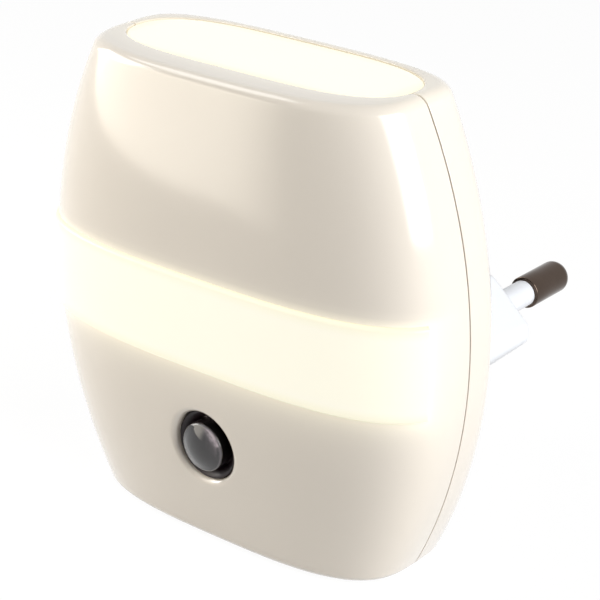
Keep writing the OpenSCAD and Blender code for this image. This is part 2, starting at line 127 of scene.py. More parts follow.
def colour(name, description, code):
    """Property for a colour whose default is given as a hexadecimal one."""
    return FloatVectorProperty(name=name, description=description, subtype="COLOR",
                               default=linear(code), min=0, max=1)


class NightLightBody(bpy.types.PropertyGroup):
    """Form of the two shells"""

    seam_gap: length("Seam gap", "Width of the groove between the shells", 0.2)
    side_radius: length("Side radius", "Radius of the bowed sides", 65.7)
    front_bulge: length("Front bulge", "How much shallower the front is at its edges", 2.5)
    front_power: power("Front squareness", "Power of the front's rounding", 3.1)
    back_power_x: power("Back squareness across", "Power of the back across its width", 2.9)
    back_power_y: power("Back squareness deep", "Power of the back across its depth", 4.5)
    edge_radius: length("Edge radius", "Rounding of the top and bottom edges", 1.1)
    cavity_radius: length("Cavity radius", "Least rounding inside the shells", 0.4)
    wall: length("Wall", "Thickness of the shells", 1.6)
    lip: length("Lip", "Rounding where a shell meets the seam, the band or a tunnel", 0.1)
    tongue: length("Tongue", "Height of the tongue that lines up the shells", 1.8)
    columns: IntProperty(name="Columns", description="Faces across the front",
                         default=96, min=24)


class NightLightDiffusers(bpy.types.PropertyGroup):
    """Form of the lit band and window"""

    band_height: length("Band height", "Height of the opening for the band", 12)
    band_end: length("Band end", "Distance of the band's ends before the seam", 6.4)
    band_proud: length("Band proud", "How far the band stands out of the shell", 0.45)
    band_edge: length("Band edge", "Rounding of the band's edges", 0.35)
    flange: length("Flange", "Width of the band's hidden flange", 1.4)
    window_width: length("Window width", "Width of the window's opening", 42.6)
    window_depth: length("Window depth", "Depth of the window's opening", 14.2)
    window_back: length("Window back", "Distance of the window's middle behind the seam", 0.7)
    window_edge: length("Window edge", "Rounding of the window's edge", 0.3)
    window_lip: length("Window lip", "Rounding of the shell round the window", 0.4)
    window_power_x: power("Window squareness across", "Power of its outline in width", 4)
    window_power_y: power("Window squareness deep", "Power of its outline in depth", 2.2)
    gap: length("Gap", "Clearance between a diffuser and its shell", 0.1)


class NightLightSensor(bpy.types.PropertyGroup):
    """Form of the twilight sensor"""

    hole: length("Hole", "Diameter of the hole in the shell",
                 RING_HIGH.x - RING_LOW.x - 2.6)
    lip: length("Lip", "Rounding of the hole's lip", 0.9)
    collar: length("Collar", "Height of the collar inside the shell", 1.4)
    ring_recess: length("Ring recess", "Depth of the black ring below the shell", 0.9)
    dome: length("Dome", "Height of the lens dome", 1)
    lens_edge: length("Lens edge", "Rounding of the lens's rim", 0.45)
    cell: length("Cell", "Diameter of the photocell", 5.1)


class NightLightPlug(bpy.types.PropertyGroup):
    """Form of the plug and its pins"""

    width: length("Width", "Width of the plug", 35)
    height: length("Height", "Height of the plug", 13.5)
    flat: length("Flat", "Height of the flats at the plug's two ends", 2.1)
    flank: length("Flank", "Width of each slanted flank", 6.2)
    edge: length("Edge", "Rounding of the end face's edge", 1)
    rounding: length("Rounding", "Rounding of the plug's long edges", 1.6)
    wall: length("Wall", "Thickness of the hollow plug", 2.2)
    end: length("End", "Thickness of the end that holds the pins", 6)
    tip: length("Tip", "Rounding of the pins' tips", 1.5)
    core: length("Core", "Diameter of a pin inside its sleeve", 2.9)


class NightLightFinish(bpy.types.PropertyGroup):
    """Colours of the visible finishes"""

    shell: colour("Shell", "Moulded cream plastic", "F0E7DA")
    # Painted shade: this colour darkens the shell in the seam, round the band and window openings
    # and on its inside.
    groove: colour("Groove", "Plastic in the depth of the seam", "957A6A")
    glow: colour("Glow", "Lit diffuser in its middle", "FFFDEE")
    glow_edge: colour("Glow edge", "Lit diffuser along its edges", "FFFCE6")
    spill: colour("Spill", "Light that bleeds into the shell round a diffuser", "FFFAD8")
    # Painted light: the diffuser's base colour is lighter in its lit middle and darker along its
    # edges, following the glow.
    diffuser: colour("Diffuser", "Diffuser's own plastic in its middle", "B8B2A0")
    diffuser_shaded_edge: colour("Diffuser edge", "The same along its edges", "A8A088")
    black: colour("Black", "Sensor ring", "22161A")
    lens: colour("Lens", "Smoky resin of the sensor's lens", "625A5C")
    lens_dark: colour("Lens, dark", "Darker clouds in that resin", "4E474A")
    plug: colour("Plug", "Plug and sleeves", "F1F4F9")
    # Painted reflection: the pins' colour is darkened to stand in for the dark surroundings that
    # they mirror.
    nickel: colour("Nickel", "Plated pins", "5A4E46")
    zinc: colour("Zinc", "Plated screws", "B9B8B4")


class NightLightStage(bpy.types.PropertyGroup):
    """Floor, lamps and camera"""

    azimuth: angle("Azimuth", "Camera's turn to the right", 39.674)
    elevation: angle("Elevation", "Camera's height as an angle", 24.020)
    distance: length("Distance", "From the camera to the point that it aims at", 256.155)
    aim_side: length("Aim side", "Aim to the right of the body's middle", 5.177)
    aim_up: length("Aim up", "Aim above the body's middle", 0.4225)
    focal: FloatProperty(name="Focal length", description="In millimetres on a 36 mm sensor",
                         default=FOCAL_PIXELS * SENSOR_WIDTH / IMAGE_PIXELS,
                         subtype="DISTANCE_CAMERA")
    ambient: brightness("Ambient", "Strength of the light all round", 0.05)
    side_light: brightness("Side light", "Radiance of the right panel", 6.7)
    left_light: brightness("Left light", "Radiance of the left panel", 4.3)
    high_light: brightness("High light", "Radiance of the upper panel", 2.4)
    front_light: brightness("Front light", "Radiance of the low strip", 2.6)
    floor_grey: share("Floor grey", "How much of the lamps' light the floor gives back", 0.5)
    floor_plain: share("Floor plain", "Share of even white in the floor that is seen", 0.84)
    floor_white: brightness("Floor white", "Strength of that white", 1.12)


# ---- mesh helpers, in millimetres ----

SAME_POINT = 2e-7       # Metres within which two points are one
SAME_FLAT_POINT = 1e-6  # The same in a flat region's triangles, in millimetres
SHARP_ANGLE = 40        # Degrees between two faces from which their edge shows as one
LARGE_FACES_LEAD = 60   # How far large faces outweigh small ones in the shading
ROW_HEIGHT = 0.866      # Height of an even triangle whose sides are 1
OUTLINE_ROOM = 0.6      # Least way of an inner point from an outline, in spacings


def make_piece(name, verts, faces, slot, material, node, **masks):
    """Closed object from points in the row frame that rides on the body for a node.

    Each mask gives every point a value from 0 to 1, kept as an attribute of its name."""
    mesh = bpy.data.meshes.new(name)
    work = bmesh.new()
    for mask in masks:
        work.verts.layers.float.new(mask)
    points = [work.verts.new(Vector(v) * MM) for v in verts]
    for mask, values in masks.items():
        layer = work.verts.layers.float[mask]
        for point, value in zip(points, values):
            point[layer] = value
    for face in faces:
        work.faces.new([points[i] for i in face])
    bmesh.ops.delete(work, geom=[v for v in work.verts if not v.link_faces], context="VERTS")
    bmesh.ops.remove_doubles(work, verts=work.verts, dist=SAME_POINT)
    bmesh.ops.dissolve_degenerate(work, edges=work.edges, dist=SAME_POINT / 2)
    bmesh.ops.recalc_face_normals(work, faces=work.faces)
    for face in work.faces:
        face.smooth = True
    loose = sum(1 for e in work.edges if len(e.link_faces) != 2)
    work.to_mesh(mesh)
    work.free()
    if loose:
        raise ValueError(f"{name} isn't closed: {loose} edges without two faces")
    mesh.set_sharp_from_angle(angle=math.radians(SHARP_ANGLE))
    obj = bpy.data.objects.new(name, mesh)
    bpy.context.scene.collection.objects.link(obj)
    normals = obj.modifiers.new("Even shading", "WEIGHTED_NORMAL")
    normals.keep_sharp = True
    normals.weight = LARGE_FACES_LEAD
    mesh.materials.append(material)
    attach(obj, "root")
    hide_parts(node)


def strips(loops, start=0):
    """Quads between neighbouring closed loops of equal length, numbered from start."""
    count = len(loops[0])
    faces = []
    for k in range(len(loops) - 1):
        a, b = start + k * count, start + (k + 1) * count
        for i in range(count):
            j = (i + 1) % count
            faces.append((a + i, a + j, b + j, b + i))
    return faces


def loops_solid(loops):
    """Points and faces of a solid through closed loops, whose ends meet or are points."""
    return [p for loop in loops for p in loop], strips(loops)


def add_loops(verts, faces, loops):
    """Adds the points of closed loops, and the faces between them, to a solid's."""
    faces += strips(loops, start=len(verts))
    verts += [p for loop in loops for p in loop]


def lathe(profile, centre, turns=96):
    """Loops round the Y axis through centre for (radius, y) of a profile."""
    loops = []
    for radius, y in profile:
        radius = max(radius, 0)
        loops.append([(centre[0] + radius * math.cos(2 * math.pi * i / turns), y,
                       centre[1] + radius * math.sin(2 * math.pi * i / turns))
                      for i in range(turns)])
    return loops


def arc(centre, radius, start, end, steps):
    """Points of an arc, angles in degrees."""
    turns = [math.radians(start + (end - start) * i / steps) for i in range(steps + 1)]
    return [(centre[0] + radius * math.cos(a), centre[1] + radius * math.sin(a))
            for a in turns]


def inside(point, outline):
    """Whether a flat point lies in a closed outline."""
    x, y = point
    hit = False
    for (ax, ay), (bx, by) in zip(outline, outline[1:] + outline[:1]):
        if (ay > y) != (by > y) and x < (bx - ax) * (y - ay) / (by - ay) + ax:
            hit = not hit
    return hit


def clearance(point, outline):
    """Distance of a flat point from an outline's nearest corner."""
    return min(math.hypot(point[0] - q[0], point[1] - q[1]) for q in outline)


def triangulate(outline, holes, spacing):
    """Inner points, and triangles over outline, holes and inner points, of a flat region."""
    loops = [outline] + holes
    xs, ys = [p[0] for p in outline], [p[1] for p in outline]
    inner = []
    rows = int((max(ys) - min(ys)) / (spacing * ROW_HEIGHT)) + 1
    for r in range(1, rows + 1):
        y = min(ys) + r * spacing * ROW_HEIGHT
        x = min(xs) + (r % 2) * spacing / 2
        while x < max(xs):
            point = (x, y)
            if (inside(point, outline) and not any(inside(point, h) for h in holes)
                    and min(clearance(point, loop) for loop in loops)
                    > spacing * OUTLINE_ROOM):
                inner.append(point)
            x += spacing
    points = [p for loop in loops for p in loop] + inner
    edges, first = [], 0
    for loop in loops:
        count = len(loop)
        edges += [(first + i, first + (i + 1) % count) for i in range(count)]
        first += count
    result = delaunay_2d_cdt([Vector(p) for p in points], edges, [], 0, SAME_FLAT_POINT)
    coords, triangles, origin = result[0], result[2], result[3]
    faces = []
    for triangle in triangles:
        middle = [sum(coords[i][k] for i in triangle) / 3 for k in (0, 1)]
        if inside(middle, outline) and not any(inside(middle, h) for h in holes):
            faces.append(tuple(origin[i][0] for i in triangle))
    return inner, faces


# ---- the body's form, in millimetres ----

SECTION_SAMPLES = 240   # Points that measure a stretch of a section
WINDOW_SAMPLES = 721    # Points that measure the window's outline


def way_along(x, y):
    """Length of the way along flat points up to each of them."""
    return np.concatenate([[0], np.cumsum(np.hypot(np.diff(x), np.diff(y)))])


def quarter(steps):
    """Angles of a quarter turn in even steps."""
    return np.linspace(0, math.pi / 2, steps + 1)


def signed(value, exponent):
    """Power of a value's size, with the value's own sign."""
    return np.sign(value) * np.abs(value) ** exponent


class BodyForm:
    """Sections of the body in millimetres from its middle on the parting plane."""

    def __init__(self, scene):
        body = scene.night_light_body
        for name in ("seam_gap", "side_radius", "front_bulge", "edge_radius", "wall",
                     "cavity_radius", "lip", "tongue"):
            setattr(self, name, getattr(body, name) / MM)
        self.powers = {True: (body.front_power, body.front_power),
                       False: (body.back_power_x, body.back_power_y)}
        self.seam = self.seam_gap / 2
        self.part_y = FRONT_HIGH.y + self.seam
        self.mid_z = (FRONT_LOW.z + FRONT_HIGH.z) / 2
        self.half_height = (FRONT_HIGH.z - FRONT_LOW.z) / 2
        self.half_width = FRONT_HIGH.x
        self.front_depth = self.part_y - FRONT_LOW.y
        self.back_depth = BACK_HIGH.y - self.part_y

    def width(self, z, inset):
        """Half the body's width at a height, made smaller by inset."""
        r = self.side_radius
        return self.half_width - r + math.sqrt(r * r - z * z) - inset

    def depth(self, front, z, inset):
        """Depth of the front or back at a height, made smaller by inset."""
        if front:
            return (self.front_depth
                    - self.front_bulge * (z / self.half_height) ** 2 - inset)
        return self.back_depth - inset

    def surface(self, front, x, z, inset):
        """Y of the outside at x and z, made smaller by inset."""
        px, py = self.powers[front]
        across = min(abs(x) / self.width(z, inset), 1)
        y = self.depth(front, z, inset) * (1 - across ** px) ** (1 / py)
        return -y if front else y

    def section(self, front, z, inset, stops, counts):
        """Points of a section from left to right, evenly spaced between the stops."""
        px, py = self.powers[front]
        width, depth = self.width(z, inset), self.depth(front, z, inset)
        angles = [math.asin((y / depth) ** (py / 2)) for y in stops]
        bounds = angles + [math.pi - a for a in reversed(angles)]
        points = []
        for k, (low, high) in enumerate(zip(bounds, bounds[1:])):
            t = np.linspace(low, high, SECTION_SAMPLES)
            run = way_along(-width * signed(np.cos(t), 2 / px),
                           depth * np.abs(np.sin(t)) ** (2 / py))
            t = np.interp(np.linspace(0, run[-1], counts[k] + 1), run, t)
            x = -width * signed(np.cos(t), 2 / px)
            y = depth * np.abs(np.sin(t)) ** (2 / py) * (-1 if front else 1)
            points += list(zip(x, y))[1 if points else 0:]
        return points

    def levels(self, inset, marks, counts):
        """(height, cut) up the body: round the lower edge, between marks, round the upper."""
        h = self.half_height - inset
        r = max(self.edge_radius - inset, self.cavity_radius)
        turn = [(h - r + r * math.cos(a), r * (1 - math.sin(a)))
                for a in quarter(7)]
        stops = [r - h] + marks + [h - r]
        middle = []
        for low, high, count in zip(stops, stops[1:], counts):
            middle += [(z, 0) for z in np.linspace(low, high, count + 1)][1:]
        return [(-z, cut) for z, cut in turn] + middle + [
            (z, cut) for z, cut in reversed(turn[:-1])]

    def window_line(self, scene, offset, front, shares):
        """Window outline on one side of the seam, grown for its lip, at shares of its way."""
        d = scene.night_light_diffusers
        grow = offset / self.lip * d.window_lip / MM
        a = d.window_width / MM / 2 + grow
        b = d.window_depth / MM / 2 + grow
        middle = d.window_back / MM
        side = -1 if front else 1
        reach = (side * (self.seam + offset) - middle) / b * side
        start = math.asin(math.copysign(abs(reach) ** (d.window_power_y / 2), reach))
        t = np.linspace(start, math.pi - start, WINDOW_SAMPLES)
        x = -a * signed(np.cos(t), 2 / d.window_power_x)
        y = middle + side * b * signed(np.sin(t), 2 / d.window_power_y)
        run = way_along(x, y)
        want = shares * run[-1]
        return list(zip(np.interp(want, run, x), np.interp(want, run, y)))

    def placed(self, point):
        """A point of the row frame, from one that is measured from the body's middle."""
        return (point[0], point[1] + self.part_y, point[2] + self.mid_z)


class Opening:
    """Hole in a shell: line(grow) gives its outline in X and Z, steps its walls.

    A step is (grow, inset, None) on the skin or (grow, None, y) on a flat level."""

    def __init__(self, line, steps):
        self.line = line
        self.steps = steps


def circle_line(x, z, radius, count=72):
    """Line of a round opening, for Opening."""
    return lambda grow: [(x + (radius + grow) * math.cos(2 * math.pi * i / count),
                          z + (radius + grow) * math.sin(2 * math.pi * i / count))
                         for i in range(count)]


class ShellSkin:
    """One shell: its skin, openings, edges and inside, as a closed solid.

    The patch is the part of the skin with the openings: its share of the width, its
    lowest and its highest height. It is made of triangles, and the rest of quads."""

    END_COLUMNS = 12            # Faces between the seam and an end of the band
    FRONT_ROWS = [3, 14, 3, 14, 26]     # Below and over the patch, up to and over the band, above
    BACK_ROWS = [4, 46, 4]      # Below and over the patch, above
    RIM_RINGS = 3               # Rings of faces between the top edge and the window
    PATCH_SPACING = 1.1         # Sides of the patch's triangles
    SAME_HEIGHT = 1e-6
    PAINTED_SHADE_START = 0.05           # Depth below the skin at which painted shade starts in the seam and the openings
    PAINTED_SHADE_REACH = 0.3            # Way from there to full painted shade

    def __init__(self, scene, form, front, openings, patch):
        self.scene, self.form, self.front = scene, form, front
        self.openings, self.patch = openings, patch
        self.inner = []
        columns = scene.night_light_body.columns
        if front:
            d = scene.night_light_diffusers
            half = d.band_height / MM / 2
            middle = (BAND_LOW.z + BAND_HIGH.z) / 2 - form.mid_z
            self.band = (middle - half, middle + half, d.band_end / MM)
            self.column_counts = [self.END_COLUMNS, columns, self.END_COLUMNS]
        else:
            self.band = None
            self.column_counts = [columns + self.END_COLUMNS]
        self.first = self.lay(form.lip, 0)
        self.build_faces()

    def marks(self, offset):
        """Heights that the rows follow, and the number of rows between them."""
        marks = list(self.patch[1:])
        if not self.front:
            return marks, self.BACK_ROWS
        return marks + [self.band[0] - offset, self.band[1] + offset], self.FRONT_ROWS

    def lay(self, offset, inset):
        """The skin's points, with seam, band and window grown by offset and the skin inset.

        The round openings' own points aren't among them."""
        form, front = self.form, self.front
        stops = [form.seam + offset]
        if front:
            stops.append(self.band[2] - offset)
        marks, counts = self.marks(offset)
        levels = form.levels(inset, marks, counts)
        rows = [[(x, y, z) for x, y in
                 form.section(front, z, inset + cut, stops, self.column_counts)]
                for z, cut in levels]
        self.shape = (len(rows), len(rows[0]))
        points = [p for row in rows for p in row]
        top = np.array(rows[-1])
        run = way_along(top[:, 0], top[:, 1])
        rim = form.window_line(self.scene, offset, front, run / run[-1])
        for k in range(1, self.RIM_RINGS + 1):
            f = k / self.RIM_RINGS
            points += [(p[0] * (1 - f) + q[0] * f, p[1] * (1 - f) + q[1] * f, p[2])
                       for p, q in zip(rows[-1], rim)]
        side = -1 if front else 1
        points += [(p[0], side * (form.seam + offset), p[2]) for p in rows[0]]
        return points + [(x, form.surface(front, x, z, inset), z) for x, z in self.inner]

    def build_faces(self):
        """Faces of the skin, whose numbers are the same for every lay."""
        rows, columns = self.shape
        reach, z0, z1 = self.patch
        near = [i for i in range(rows)
                if z0 - self.SAME_HEIGHT < self.first[i * columns][2] < z1 + self.SAME_HEIGHT]
        mid = self.first[near[0] * columns:(near[0] + 1) * columns]
        across = [j for j in range(columns) if abs(mid[j][0]) < reach * mid[-1][0]]
        i0, i1, j0, j1 = near[0], near[-1], across[0], across[-1]
        faces = []
        for i in range(rows - 1):
            z = (self.first[i * columns][2] + self.first[(i + 1) * columns][2]) / 2
            for j in range(columns - 1):
                if i0 <= i < i1 and j0 <= j < j1:
                    continue
                if (self.band and self.band[0] < z < self.band[1]
                        and self.column_counts[0] <= j < columns - 1 - self.column_counts[0]):
                    continue
                a = i * columns + j
                faces.append((a, a + 1, a + columns + 1, a + columns))
        for k in range(self.RIM_RINGS):
            a = (rows - 1 + k) * columns
            faces += [(a + j, a + j + 1, a + columns + j + 1, a + columns + j)
                      for j in range(columns - 1)]
        chord = (rows + self.RIM_RINGS) * columns
        faces += [(j + 1, j, chord + j, chord + j + 1) for j in range(columns - 1)]
        ring = ([i0 * columns + j for j in range(j0, j1)]
                + [i * columns + j1 for i in range(i0, i1)]
                + [i1 * columns + j for j in range(j1, j0, -1)]
                + [i * columns + j0 for i in range(i1, i0, -1)])
        outline = [(self.first[n][0], self.first[n][2]) for n in ring]
        holes = [opening.line(opening.steps[0][0]) for opening in self.openings]
        self.inner, triangles = triangulate(outline, holes, self.PATCH_SPACING)
        inner = range(chord + columns, chord + columns + len(self.inner))
        corners = [(hole, i) for hole, line in enumerate(holes) for i in range(len(line))]
        self.hole_of = dict(enumerate(corners, inner.stop))
        numbers = ring + list(self.hole_of) + list(inner)
        self.faces = faces + [tuple(numbers[i] for i in t) for t in triangles]

    def solid(self):
        """Points and faces of the whole shell, and the painted shade of each point, which grows
        with its depth below the skin.
        """
        form, lip = self.form, self.form.lip
        common = [(lip * (1 - math.sin(a)), lip * (1 - math.cos(a))) for a in quarter(3)]
        common.append((0, form.wall))
        lays = [self.lay(offset, inset) for offset, inset in common]
        edges = {}
        for face in self.faces:
            for a, b in zip(face, face[1:] + face[:1]):
                edges.setdefault((min(a, b), max(a, b)), []).append((a, b))
        borders = [uses[0] for uses in edges.values() if len(uses) == 1]
        number, verts, depth = {}, [], []

        def step_count(node):
            if node in self.hole_of:
                return len(self.openings[self.hole_of[node][0]].steps)
            return len(common)

        def vertex(step, node):
            step = step_count(node) - 1 if step < 0 else step
            key = (step, node)
            if key not in number:
                dark = 0
                if node in self.hole_of:
                    hole, corner = self.hole_of[node]
                    grow, inset, y = self.openings[hole].steps[step]
                    x, z = self.openings[hole].line(grow)[corner]
                    point = (x, form.surface(self.front, x, z, inset) if y is None else y, z)
                else:
                    point = lays[step][node]
                    # Painted shade: points below the skin, in the seam, round the openings and
                    # inside, are marked darker with depth.
                    dark = max(common[step][1] - self.PAINTED_SHADE_START, 0) / self.PAINTED_SHADE_REACH
                number[key] = len(verts)
                verts.append(form.placed(point))
                depth.append(min(dark, 1))
            return number[key]

        faces = [tuple(vertex(0, n) for n in face) for face in self.faces]
        faces += [tuple(vertex(-1, n) for n in reversed(face)) for face in self.faces]
        for a, b in borders:
            for k in range(step_count(a) - 1):
                faces.append((vertex(k, b), vertex(k, a), vertex(k + 1, a), vertex(k + 1, b)))
        return verts, faces, depth


# ---- shells, in millimetres ----

SPILL_REACH = 1.8       # Way in which the light that bleeds into a shell falls to a third
SPILL_UP = 3            # How many times faster it falls above the band
SPILL_WINDOW = 0.4      # Its share round the window, where 1 is the band's
SPILL_MARGIN = 1        # How far round the window it is still full
TONGUE_POINTS = 60      # Points up each side of the tongue
COLLAR_WALL = 1.3       # Wall of the collar round the sensor
SENSOR_PATCH = 0.36     # Share of the front's width with triangles, round the sensor
SENSOR_PATCH_REACH = 8  # How far above and below the sensor they go
BACK_PATCH = 0.92       # Share of the back's width with triangles
BACK_PATCH_REACH = 24   # How far above and below the body's middle they go
HEAD_RADIUS = 2.5       # Case screws' heads
HEAD_SEAT = 2.0         # Way from the seam to the heads' seats
HEAD_SHELF = 1.45       # Width of those seats, from a tunnel's wall to the screw's hole
TUNNEL_RADIUS = 2.8
TUNNEL_TURNS = 48
SLANT = 0.4             # How far the plug's corners move when its outline grows by 1
LEAST_FLAT = 0.2        # Least half height of its flats
ROUND_TO_FLAT = 1.6     # Its roundings' largest radius, in half heights of its flats


def spill_mask(scene, form, verts):
    """How much light bleeds from the diffusers into each point of a shell.

    Little of it goes up from the band, whose lamps shine down and to its ends."""
    d = scene.night_light_diffusers
    low = (BAND_LOW.z + BAND_HIGH.z) / 2 - d.band_height / MM / 2
    high = low + d.band_height / MM
    end = form.part_y - d.band_end / MM
    wide, deep = d.window_width / MM / 2, d.window_depth / MM / 2
    middle = form.part_y + d.window_back / MM
    values = []
    for x, y, z in verts:
        past = math.hypot(max(low - z, SPILL_UP * (z - high), 0), max(y - end, 0))
        round_window = math.hypot(x / (wide + SPILL_MARGIN),
                                  (y - middle) / (deep + SPILL_MARGIN))
        over = math.hypot(max(FRONT_HIGH.z - z, 0), max(round_window - 1, 0) * deep)
        values.append(math.exp(-past / SPILL_REACH)
                      + SPILL_WINDOW * math.exp(-over / SPILL_REACH))
    return [min(value, 1) for value in values]


def tongue_loops(form):
    """Tongue of the back shell that closes the seam from inside."""
    outer = form.wall + BEHIND
    inner = outer + THIN_WALL
    loops = []
    for inset, y in ((outer, -form.tongue), (outer, form.tongue),
                     (inner, form.tongue), (inner, -form.tongue), (outer, -form.tongue)):
        h = form.half_height - inset
        line = [(side * form.width(z, inset), y, z) for side in (1, -1)
                for z in np.linspace(-side * h, side * h, TONGUE_POINTS)]
        loops.append([form.placed(p) for p in line])
    return loops


def lip_steps(lip, count):
    """Steps of an opening whose edge is rounded with the radius lip."""
    return [(lip * (1 - math.sin(a)), lip * (1 - math.cos(a)), None) for a in quarter(count)]


class NIGHTLIGHT_OT_front_shell(bpy.types.Operator):
    """Build the front shell with its band, sensor and window openings"""

    bl_idname = "nightlight.front_shell"
    bl_label = "Front shell"

    def execute(self, context):
        scene = context.scene
        form = BodyForm(scene)
        sensor = scene.night_light_sensor
        hole, lip = sensor.hole / MM / 2, sensor.lip / MM
        z = (RING_LOW.z + RING_HIGH.z) / 2 - form.mid_z
        collar_y = form.surface(True, 0, z, form.wall) + sensor.collar / MM
        steps = lip_steps(lip, ROUND_STEPS)
        steps += [(0, None, collar_y), (COLLAR_WALL, None, collar_y),
                  (COLLAR_WALL, form.wall, None)]
        skin = ShellSkin(scene, form, True, [Opening(circle_line(0, z, hole), steps)],
                         (SENSOR_PATCH, z - SENSOR_PATCH_REACH, z + SENSOR_PATCH_REACH))
        verts, faces, depth = skin.solid()
        # The mask of depth below the skin paints shade into the seam, the openings and the
        # inside.
        make_piece("shell_front", verts, faces, "cream_shell", cream_shell(scene),
                   "front_shell", groove=depth, spill=spill_mask(scene, form, verts))
        return {"FINISHED"}


def plug_line(scene, grow, steps=8):
    """Rounded octagon of the plug in X and Z, from its middle, grown by grow."""
    plug = scene.night_light_plug
    x, z = plug.width / MM / 2 + grow, plug.height / MM / 2 + grow
    end = max(plug.flat / MM / 2 + SLANT * grow, LEAST_FLAT)
    flank = plug.width / MM / 2 - plug.flank / MM + SLANT * grow
    corners = [Vector(c) for c in ((flank, -z), (x, -end), (x, end), (flank, z),
                                   (-flank, z), (-x, end), (-x, -end), (-flank, -z))]
    radius = min(plug.rounding / MM, ROUND_TO_FLAT * end)
    line = []
    for i, corner in enumerate(corners):
        u = (corners[i - 1] - corner).normalized()
        v = (corners[(i + 1) % len(corners)] - corner).normalized()
        half = math.acos(u.dot(v)) / 2
        centre = corner + (u + v).normalized() * radius / math.sin(half)
        start = corner + u * radius / math.tan(half) - centre
        first = math.atan2(start.y, start.x)
        for k in range(steps + 1):
            turn = first + (math.pi - 2 * half) * k / steps
            line.append((centre.x + radius * math.cos(turn),
                         centre.y + radius * math.sin(turn)))
    return line


def plug_middle():
    """X and Z of the plug's middle."""
    return ((PLUG_LOW.x + PLUG_HIGH.x) / 2, (PLUG_LOW.z + PLUG_HIGH.z) / 2)


class NIGHTLIGHT_OT_back_shell(bpy.types.Operator):
    """Build the back shell with its screw tunnels and the opening for the plug"""

    bl_idname = "nightlight.back_shell"
    bl_label = "Back shell"

    def execute(self, context):
        scene = context.scene
        form = BodyForm(scene)
        screw_x = (SCREW_HIGH.x - SCREW_LOW.x) / 2 - HEAD_RADIUS
        screw_z = (SCREW_HIGH.z - SCREW_LOW.z) / 2 - HEAD_RADIUS
        mouth = lip_steps(form.lip, 3)
        tunnel = mouth + [(0, None, HEAD_SEAT), (-HEAD_SHELF, None, HEAD_SEAT),
                          (-HEAD_SHELF, None, form.seam), (THIN_WALL, None, form.seam),
                          (THIN_WALL, form.wall, None)]
        openings = [Opening(circle_line(sx * screw_x, sz * screw_z, TUNNEL_RADIUS,
                                        TUNNEL_TURNS), tunnel)
                    for sx in (-1, 1) for sz in (-1, 1)]
        drop = plug_middle()[1] - form.mid_z
        openings.append(Opening(
            lambda grow: [(x, z + drop) for x, z in plug_line(scene, grow + CLEAR)],
            mouth + [(0, form.wall, None)]))
        skin = ShellSkin(scene, form, False, openings,
                         (BACK_PATCH, -BACK_PATCH_REACH, BACK_PATCH_REACH))
        verts, faces, depth = skin.solid()
        add_loops(verts, faces, tongue_loops(form))
        # The tongue, hidden inside, gets full painted shade.
        depth += [1] * (len(verts) - len(depth))
        # The mask of depth below the skin paints shade into the seam, the openings and the
        # inside.
        make_piece("shell_back", verts, faces, "cream_shell", cream_shell(scene),
                   "back_shell", groove=depth, spill=spill_mask(scene, form, verts))
        return {"FINISHED"}


# ---- lit diffusers, in millimetres ----

BAND_ROWS = 16              # Faces up the band
WINDOW_POINTS = 160         # Points round the window
WINDOW_RINGS = (0, 0.3, 0.6, 0.9)   # Shares of the window's size where its top has a ring
WINDOW_BACK_RINGS = (0.6, 0)        # The same on its underside
WINDOW_FLANGE = 1.1         # Width of its flange
WINDOW_FLANGE_WALL = 1.2


class NIGHTLIGHT_OT_front_band(bpy.types.Operator):
    """Build the lit band round the front"""

    bl_idname = "nightlight.front_band"
    bl_label = "Front band"

    def execute(self, context):
        scene = context.scene
        form = BodyForm(scene)
        d = scene.night_light_diffusers
        gap, proud, edge, flange = (v / MM for v in (d.gap, d.band_proud, d.band_edge,
                                                     d.flange))
        half = d.band_height / MM / 2 - gap
        middle = (BAND_LOW.z + BAND_HIGH.z) / 2 - form.mid_z
        end = d.band_end / MM + gap
        columns, rows = scene.night_light_body.columns, BAND_ROWS

        def lay(shrink, inset):
            heights = np.linspace(middle - half + shrink, middle + half - shrink, rows + 1)
            return [form.placed((x, y, z)) for z in heights for x, y in
                    form.section(True, z, inset, [end + shrink], [columns])]

        steps = [(edge * (1 - math.sin(a)), edge * (1 - math.cos(a)) - proud)
                 for a in quarter(5)]
        back = form.wall + BEHIND
        steps += [(0, back), (-flange - gap, back), (-flange - gap, back + THIN_WALL)]
        count = columns + 1
        border = (list(range(columns)) + [r * count + columns for r in range(rows)]
                  + [rows * count + j for j in range(columns, 0, -1)]
                  + [r * count for r in range(rows, 0, -1)])
        lays = [lay(*step) for step in steps]
        loops = [[points[i] for i in border] for points in lays]
        verts = lays[0] + lays[-1]
        size = len(lays[0])
        faces = []
        for r in range(rows):
            for j in range(columns):
                a = r * count + j
                face = (a, a + 1, a + count + 1, a + count)
                faces += [face, tuple(size + n for n in reversed(face))]
        add_loops(verts, faces, loops)
        make_piece("band_diffuser", verts, faces, "lit_diffuser",
                   lit_band(scene), "front_band")
        return {"FINISHED"}


